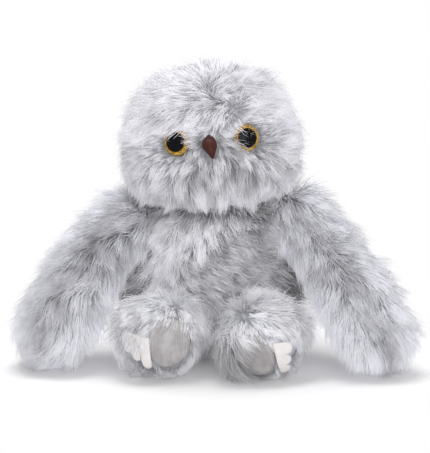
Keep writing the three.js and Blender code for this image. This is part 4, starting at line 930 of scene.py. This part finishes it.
def limb_skin(name, points, radii, inset, sides=56, steps=30, caps=10):
    """A closed round limb along a line, with each vertex's tangent and its way round from the front."""
    centres, tangents = curve_through(points, steps)
    sizes = np.interp(np.linspace(0, 1, steps), np.linspace(0, 1, len(radii)), radii) - inset
    turns = np.radians(np.linspace(90, 0, caps + 1)[1:-1])
    start = [(centres[0] - tangents[0] * sizes[0] * math.sin(a), tangents[0], sizes[0] * math.cos(a)) for a in turns]
    end = [(centres[-1] + tangents[-1] * sizes[-1] * math.sin(a), tangents[-1], sizes[-1] * math.cos(a))
           for a in turns[::-1]]
    angles = np.linspace(-math.pi, math.pi, sides, endpoint=False)
    rings, flows, rounds = [], [], []
    for centre, tangent, size in [*start, *zip(centres, tangents, sizes), *end]:
        front = unit(PARTING_WAY - tangent * np.dot(PARTING_WAY, tangent))
        across = np.cross(tangent, front)
        rings.append([centre + size * (math.cos(a) * front + math.sin(a) * across) for a in angles])
        flows += [tangent] * sides
        rounds += [math.sin(a) * (math.cos(a) * across - math.sin(a) * front) for a in angles]
    first = centres[0] - tangents[0] * sizes[0]
    last = centres[-1] + tangents[-1] * sizes[-1]
    skin = closed_skin(name, np.array(rings) * MM, first * MM, last * MM)
    return skin, np.array([*flows, tangents[0], tangents[-1]]), np.array([*rounds, (0, 0, 0), (0, 0, 0)])


WING_FUR = linear(192, 193, 201), linear(248, 248, 253)
for i, (side, sign) in enumerate((("left", 1), ("right", -1))):
    line = (SHOULDERS[side], WING_BENDS[side], WING_TIPS[side])
    skin, flows, rounds = limb_skin(side + "_wing_skin", line, WING_RADII, WING_DEPTH / MM)
    finish_skin(skin, side + "_wing", side + "_wing_fur")
    places, normals = vertices(skin)
    comb = flows * 0.85 + rounds * 0.8 + np.array([0, 0, -0.15])
    comb = comb + swirl(places, 31 + i, 13 * MM, 0.35) + swirl(places, 36 + i, 5 * MM, 0.25)
    seam = np.exp(-((np.linalg.norm(rounds, axis=1) / 0.35) ** 2))
    round_share = np.sum(unit(comb) * unit(rounds), axis=1) ** 2

    # On the inner side, towards the body, the pile is long, and painted shade darkens it there and underneath by the
    # floor. It is darker along its parting too, and a touch lighter on the left wing than on the right.
    inwards, level = -rounds[:, 0] * sign, places[:, 2]
    inner = smooth(inwards, 0.1, 0.6) * smooth(-np.abs(level - 62 * MM), -42 * MM, -22 * MM)
    dark = 0.95 * inner * smooth(inwards, 0.35, 0.75)
    dark = dark + 0.45 * smooth(inwards, 0.1, 0.5) * smooth(level, 74 * MM, 96 * MM)
    underside_shade = 0.35 * (1 - smooth(level, 6 * MM, 20 * MM))
    tip = smooth(np.abs(places[:, 0]), 146 * MM, 162 * MM)
    set_groom(skin, comb, 28 * MM / np.maximum(round_share, 0.1), pile=(28 + 12 * inner) * MM,
              stand=1 + 0.9 * inner - 0.42 * tip, fineness=0.9, tuft=0.62,
              dusk=0.42 * seam + dark + underside_shade - 0.165 - 0.025 * sign)
    spine = (tuple(c * MM for c in line[0]), tuple(c * MM for c in line[2]))
    material = fur_material(side + "_wing_pile_finish", *WING_FUR, spine)
    in_front = smooth(-normals[:, 1], -0.3, 0.1)
    grow_pile(side + "_wing_front_pile", skin, in_front, side + "_wing", material, 300 + i)
    grow_pile(side + "_wing_back_pile", skin, 0.55 * (1 - in_front), side + "_wing", material, 310 + i)

# Legs: short stuffed limbs of the same fabric, each a ball in the body that runs out into a round foot. The
# pile falls from a parting on top of the foot over the sole and the talons.
HIP, HIP_RADIUS, FOOT_RADIUS = (38, -64, 40), 29, 37
FEET = {"left": ((43, -88, 36), 24, -22), "right": ((-46, -84, 36), 2, 16)}
SOLE_WIDTH, SOLE_HEIGHT, SOLE_FACE, SOLE_BACK = 39, 44, -30.5, -27.5
PARTINGS = {"left": (24, -112, 64), "right": (-34, -104, 72)}
TALONS = {"left": {"roll": 90, "start": -3, "top": -6, "rise": -2.5, "length": 17, "step": 0.5, "slant": 0,
                   "pitch": 17.5, "slit": 1.0, "cover": -1},
          "right": {"roll": 0, "start": 14, "top": 5, "rise": 1.5, "length": 28, "step": 6.5, "slant": 4,
                    "pitch": 14.5, "slit": 9.0, "cover": 7}}
SOLE_PLACES = {}
LEG_FUR = linear(204, 205, 211), linear(250, 250, 253)

for i, (side, sign) in enumerate((("left", 1), ("right", -1))):
    centre, dip, turn = FEET[side]
    sole_place = (Matrix.Translation(Vector(centre) * MM) @ Matrix.Rotation(math.radians(turn), 4, "Z")
                  @ Matrix.Rotation(math.radians(dip), 4, "X"))
    SOLE_PLACES[side] = sole_place
    hip = (HIP[0] * sign, HIP[1], HIP[2])
    skin, _, _ = limb_skin(side + "_leg_skin", (hip, centre), (HIP_RADIUS, FOOT_RADIUS), SKIN_DEPTH / MM, steps=10)
    places, _ = vertices(skin)
    inward = np.array(sole_place.inverted())
    local = places @ inward[:3, :3].T + inward[:3, 3]
    off = np.hypot(local[:, 0] / SOLE_WIDTH, local[:, 2] / SOLE_HEIGHT) * 2 / MM
    flat = (1 - smooth(off, 1.02, 1.4)) * (local[:, 1] < 0)
    local[:, 1] = local[:, 1] * (1 - flat) + (SOLE_BACK + 0.4) * MM * flat
    matrix = np.array(sole_place)
    places = local @ matrix[:3, :3].T + matrix[:3, 3]
    move_vertices(skin, places)
    finish_skin(skin, side + "_leg", side + "_leg_fur")

    # The pile is combed away from the parting. None grows where the sole and the felt lie on the skin.
    away = places - np.array(PARTINGS[side]) * MM
    parted = np.exp(-(np.linalg.norm(away, axis=1) / (18 * MM)) ** 2)
    comb = unit(away) + np.array([0, -0.1, -0.25]) + swirl(places, 41 + i, 9 * MM, 0.4)
    on_sole = (1 - smooth(off, 0.9, 0.98)) * (local[:, 1] < -15 * MM)
    rim = np.exp(-((off - 1.1) / 0.25) ** 2) * (local[:, 1] < -10 * MM)
    spec = TALONS[side]
    unroll = Matrix.Rotation(-math.radians(spec["roll"]), 3, "Y")
    foot = (places - np.array(centre) * MM) @ np.array(unroll) / MM
    heading = np.degrees(np.arctan2(-foot[:, 0], -foot[:, 1]))
    heading = heading + spec["slant"] * (spec["top"] - foot[:, 2]) / spec["length"]
    along = (heading - spec["start"]) / spec["pitch"]
    beside = smooth(along, -0.25, 0.0) * smooth(-along, -3.25, -3.0)
    below_top = spec["top"] + spec["rise"] * along - foot[:, 2]
    on_felt = beside * smooth(below_top, spec["cover"] - 2, spec["cover"])
    on_felt = on_felt * smooth(spec["length"] - below_top, -2, 0)

    # Pile falls over the sole of the left foot, and over the upper edge of the right foot's talons.
    over = smooth(-local[:, 0], 6 * MM, 15 * MM) * smooth(-np.abs(local[:, 2]), -27 * MM, -20 * MM) * rim
    over = over * (side == "left")
    comb = combed_over(comb, over, 1.2 * matrix[:3, 0] - 0.35 * matrix[:3, 2])
    fringe = beside * smooth(below_top, -16, -4) * smooth(-below_top, -8, -4) * (side == "right")
    fringe_way = unit(np.array(unroll @ Vector((0, 0, -1))) + 0.25 * unit(foot))
    comb = combed_over(comb, fringe, fringe_way)
    above = smooth(along, -1.3, -0.2) * smooth(-along, -3.4, 0.0) * smooth(below_top, -4, 2) * (side == "left")
    short = np.maximum(rim * (1 - over) * (1 - fringe), above)

    # Painted shade darkens the pile between the feet, underneath and beside the wing, and it is lighter about the
    # parting. It stands up towards the wing.
    outwards, level = places[:, 0] * sign, places[:, 2]
    between_feet_shade = smooth(-outwards, -26 * MM, -8 * MM) * (1 - smooth(level, 34 * MM, 56 * MM))
    underside_shade = 0.45 * (1 - smooth(level, 8 * MM, 22 * MM))
    beside_wing = smooth(outwards, 52 * MM, 70 * MM) * smooth(level, 30 * MM, 48 * MM)
    in_front = smooth(-places[:, 1], 96 * MM, 114 * MM)
    set_groom(skin, comb, (31 + 60 * np.maximum(over, fringe)) * MM,
              pile=(28 - 17 * short - 9 * fringe + 14 * over) * MM, thick=(1 - on_sole) * (1 - on_felt),
              stand=1.1 + 0.5 * beside_wing - 0.4 * in_front, tuft=0.55,
              dusk=0.9 * between_feet_shade + underside_shade - 0.2 + 0.2 * beside_wing - 0.35 * parted)
    spine = (tuple(c * MM for c in hip), tuple(c * MM for c in centre))
    material = fur_material(side + "_leg_pile_finish", *LEG_FUR, spine)
    grow_pile(side + "_leg_pile", skin, 1.0, side + "_leg", material, 400 + i)
bpy.data.objects.remove(pile_lock)

# Soles: an oval of short grey suede cloth under each foot, padded a little and sewn into the fur along its
# edge.
SOLE_CROWN, SOLE_ROUNDING = 1.0, 2.4
RIB_PITCH = 1.5 * MM



def ribbed_suede(across):
    def build(tree, where):
        ribs = (where.dot(across) * (2 * math.pi / RIB_PITCH)).sine()
        nap = tree.noise(where, 700.0, 4.0, 0.7)
        smudge = tree.noise(where, 70.0, 3.0)
        colour = tree.mix(tree.step(smudge, 0.35, 0.65), linear(160, 156, 157), linear(184, 181, 181))
        # Painted shade: a darker copy of the colour shows in the troughs between the ribs, mixed with the nap's own
        # speckle.
        shaded = tree.mix(1.0, colour, (0.8, 0.8, 0.81), "MULTIPLY")
        colour = tree.mix(0.5 + 0.25 * ribs + 0.8 * (nap - 0.5), shaded, colour)
        return {"Base_Color": colour, "height": ribs * 0.5 + nap, "relief": 0.0004, "Roughness": 0.92}
    return build


def sole_points(sides=64, rings=12):
    """Both faces of the oval in its own frame, the outer one crowned and rounded over at its edge."""
    points = []
    for crown, rounding, base in ((SOLE_CROWN, SOLE_ROUNDING, SOLE_FACE), (-0.2, 0, SOLE_BACK)):
        for r in np.linspace(0.08, 1, rings):
            dome = crown * (1 - r ** 2) - rounding * r ** 14
            points += [(SOLE_WIDTH / 2 * r * math.cos(a), base - dome, SOLE_HEIGHT / 2 * r * math.sin(a))
                       for a in np.linspace(0, 2 * math.pi, sides, endpoint=False)]
    count = len(points) // 2
    points += [(0, SOLE_FACE - SOLE_CROWN, 0), (0, SOLE_BACK + 0.2, 0)]
    faces = []
    for start, centre in ((0, len(points) - 2), (count, len(points) - 1)):
        faces += [tuple(start + i for i in face) for face in ring_faces(rings, sides)]
        faces += [(centre, start + (c + 1) % sides, start + c) for c in range(sides)]
    outer, inner = (rings - 1) * sides, count + (rings - 1) * sides
    faces += [(outer + c, outer + (c + 1) % sides, inner + (c + 1) % sides, inner + c) for c in range(sides)]
    return np.array(points), faces


for side in ("left", "right"):
    points, faces = sole_points()
    sole = new_piece(side + "_sole", points * MM, faces)
    sole.data.transform(SOLE_PLACES[side])
    across = SOLE_PLACES[side].col[0].xyz
    suede = surface(side + "_sole_suede", ribbed_suede(tuple(across)), Specular_IOR_Level=0.15)
    finish_piece(sole, suede, side + "_leg", side + "_sole_patch")

# Talons: one piece of thick pale felt on each foot, cut into three round-ended lobes that follow the ball of
# the foot. Its upper edge is caught under the pile.
TALON_COUNT, TALON_THICK, TALON_LIFT, TALON_ROUNDNESS = 3, 2.6, 1, 0.98
TALON_EDGE, SLIT_POWER = 0.8, 18



def talon_points(side, lobe_steps=24, rows=18):
    """The outer and inner sheets of the felt, row by row from the upper edge, and their quads."""
    spec = TALONS[side]
    columns = TALON_COUNT * lobe_steps + 1
    sheets = []
    for sheet in (0, 1):
        for t in np.linspace(0, 1, rows):
            for i in range(columns):
                along = i / lobe_steps
                lobe = min(i // lobe_steps, TALON_COUNT - 1)
                across = 2 * (along - lobe) - 1
                half = FOOT_RADIUS * math.radians(spec["pitch"]) / 2
                end = half * (1 - math.sqrt(1 - (TALON_ROUNDNESS * across) ** 2))
                end += spec["slit"] * abs(across) ** SLIT_POWER
                high = spec["top"] + spec["rise"] * along
                low = spec["top"] - spec["length"] + spec["step"] * lobe + end
                level = high + (low - high) * t
                # edge is 1 along the cut edges, where the felt is thinner, and 0 away from them.
                edge = max(1 - min(t, 1 - t) * 9, 1 - min(i, columns - 1 - i) * 0.35, abs(across) ** 12 * t, 0)
                thinned = (TALON_EDGE if sheet else -TALON_EDGE) * edge ** 2
                depth = TALON_LIFT - (TALON_THICK if sheet else 0) + thinned
                reach = math.sqrt(FOOT_RADIUS ** 2 - (0.9 * level) ** 2) + depth
                heading = math.radians(spec["start"] + spec["pitch"] * along * (FOOT_RADIUS / reach) ** 0.7)
                angle = heading - math.radians(spec["slant"]) * (high - level) / spec["length"]
                sheets.append((-reach * math.sin(angle), -reach * math.cos(angle), level))
    return np.array(sheets), ring_faces(rows, columns, wrap=False)


def felt(tree, where):
    fibres = tree.noise(where, 900.0, 5.0, 0.7)
    lumps = tree.noise(where, 160.0, 3.0)
    colour = tree.mix(0.5 * fibres + 0.5 * lumps, linear(196, 191, 190), linear(228, 224, 223))
    return {"Base_Color": colour, "height": fibres + 0.5 * lumps, "relief": 0.0004, "Roughness": 0.95}


talon_felt = surface("talon_felt", felt, Specular_IOR_Level=0.1)
for side in ("left", "right"):
    sheets, faces = talon_points(side)
    count = len(sheets) // 2
    talon = cloth_shell(side + "_talon_felt", sheets[:count] * MM, sheets[count:] * MM, faces)
    roll = Matrix.Rotation(-math.radians(TALONS[side]["roll"]), 4, "Y")
    talon.data.transform(Matrix.Translation(Vector(FEET[side][0]) * MM) @ roll)
    finish_piece(talon, talon_felt, side + "_leg", side + "_talons")

# Filling: loose white polyester wadding, pushed into each stuffed part by hand before its last seam is closed,
# and a pad of it in the pocket of the sound unit.
WOOL_GRAIN, PAD_GRAIN = 3.5 * MM, 2 * MM
WOOL_SINK, WOOL_TANGLE = 0.3, 0.9


def wadding(tree, where):
    tangle = tree.noise(where, 260.0, 6.0, 0.7)
    clumps = tree.noise(where, 60.0, 3.0)
    clean = tree.step(0.6 * tangle + 0.4 * clumps, 0.35, 0.65)
    colour = tree.mix(clean, linear(222, 222, 220), linear(246, 246, 243))
    return {"Base_Color": colour, "height": tangle + clumps, "relief": 0.001, "Roughness": 0.95}


wadding_material = surface("wadding", wadding, Specular_IOR_Level=0.1)
FILLED = {"body_stuffing": "torso", "pocket_pad": "torso", "head_stuffing": "head"}
for part in ("left_wing", "left_leg", "right_wing", "right_leg"):
    FILLED[part + "_stuffing"] = part
for i, (node, body) in enumerate(FILLED.items()):
    mesh = frame["nodes"][node].data.copy()
    mesh.transform(frame["nodes"][node].matrix_world)
    solid = bpy.data.objects.new(node, mesh)
    bpy.context.collection.objects.link(solid)
    remesh = solid.modifiers.new("wool", "REMESH")
    remesh.mode, remesh.use_smooth_shade = "VOXEL", True
    remesh.voxel_size = PAD_GRAIN if node == "pocket_pad" else WOOL_GRAIN
    made = bpy.data.meshes.new_from_object(solid.evaluated_get(bpy.context.evaluated_depsgraph_get()))
    bpy.data.objects.remove(solid)
    wool = bpy.data.objects.new(node + "_wool", made)
    bpy.context.collection.objects.link(wool)
    places, normals = vertices(wool)
    depth = 0.5 + 0.5 * np.clip(swirl(places, 60 + i, 6 * MM, 1.5)[:, :1], -1, 1)
    move_vertices(wool, places - normals * (WOOL_SINK + WOOL_TANGLE * depth) * MM)
    made.materials.clear()
    finish_piece(wool, wadding_material, body, node)

# Works: the sound unit with its case, batteries and switches, the nylon neck joint, the washers that hold
# the eyes and the beak, and the tapes of the flap. Their shapes come from the CAD model.
def moulded(dark, light, rough, grain=900.0):
    def build(tree, where):
        spark = tree.noise(where, grain, 4.0, 0.6)
        flow = tree.noise(where * (1.0, 1.0, 0.3), 60.0, 3.0)
        colour = tree.mix(0.6 * flow + 0.4 * spark, linear(*dark), linear(*light))
        return {"Base_Color": colour, "height": spark, "relief": 0.00012, "Roughness": rough + 0.12 * (flow - 0.5)}
    return build


def hook_and_loop(tree, where):
    x, _, z = where.parts()
    weave = 2 * math.pi / (1.3 * MM)
    hooks = (z * weave).sine() * (x * weave).sine()
    fuzz = tree.noise(where, 800.0, 4.0, 0.7)
    colour = tree.mix(0.35 + 0.3 * hooks + 0.5 * fuzz, linear(134, 134, 139), linear(190, 190, 196))
    return {"Base_Color": colour, "height": hooks + fuzz, "relief": 0.0005, "Roughness": 0.9}


def plated_steel(tree, where):
    brushed = tree.noise(where * (1.0, 1.0, 0.05), 2500.0, 3.0, 0.6)
    dull = tree.noise(where, 90.0, 3.0)
    colour = tree.mix(0.5 * brushed + 0.5 * dull, linear(168, 170, 174), linear(208, 210, 214))
    return {"Base_Color": colour, "height": brushed, "relief": 0.00006, "Roughness": 0.22 + 0.2 * dull}


def cell_sleeve(tree, where):
    wrap = tree.noise(where, 70.0, 3.0)
    scuffs = tree.step(tree.noise(where * (1.0, 1.0, 0.2), 500.0, 4.0), 0.6, 0.72)
    colour = tree.mix(wrap, linear(66, 80, 92), linear(88, 103, 116))
    return {"Base_Color": tree.mix(scuffs * 0.5, colour, linear(146, 154, 160)), "Roughness": 0.3 + 0.2 * scuffs}


def solder_mask(tree, where):
    x, _, z = where.parts()
    tracks = ((x + z) * (2 * math.pi / (1.6 * MM))).sine()
    route = tree.step(tracks * tree.step(tree.noise(where, 140.0, 2.0), 0.45, 0.5), 0.5, 0.62)
    colour = tree.mix(tree.noise(where, 300.0), linear(24, 88, 58), linear(34, 108, 72))
    return {"Base_Color": tree.mix(route, colour, linear(52, 138, 96)), "height": route, "relief": 0.00008,
            "Roughness": 0.35}


WORKS = {"nylon": surface("nylon", moulded((222, 220, 210), (238, 236, 228), 0.45)),
         "tape": surface("hook_and_loop_tape", hook_and_loop, Specular_IOR_Level=0.2),
         "case": surface("case_plastic", moulded((36, 36, 38), (52, 52, 55), 0.55)),
         "steel": surface("plated_steel", plated_steel, Metallic=1.0),
         "cell": surface("cell_sleeve", cell_sleeve, Coat_Weight=0.3),
         "board": surface("solder_mask", solder_mask),
         "black": surface("black_polymer", moulded((20, 20, 21), (36, 36, 37), 0.6, 500.0)),
         "key": surface("key_plastic", moulded((166, 58, 48), (190, 76, 62), 0.4))}
for subpart in frame["record"]["subparts"]:
    if subpart["material_slot"] in WORKS:
        for slot in frame["nodes"][subpart["node"]].material_slots:
            slot.material = WORKS[subpart["material_slot"]]
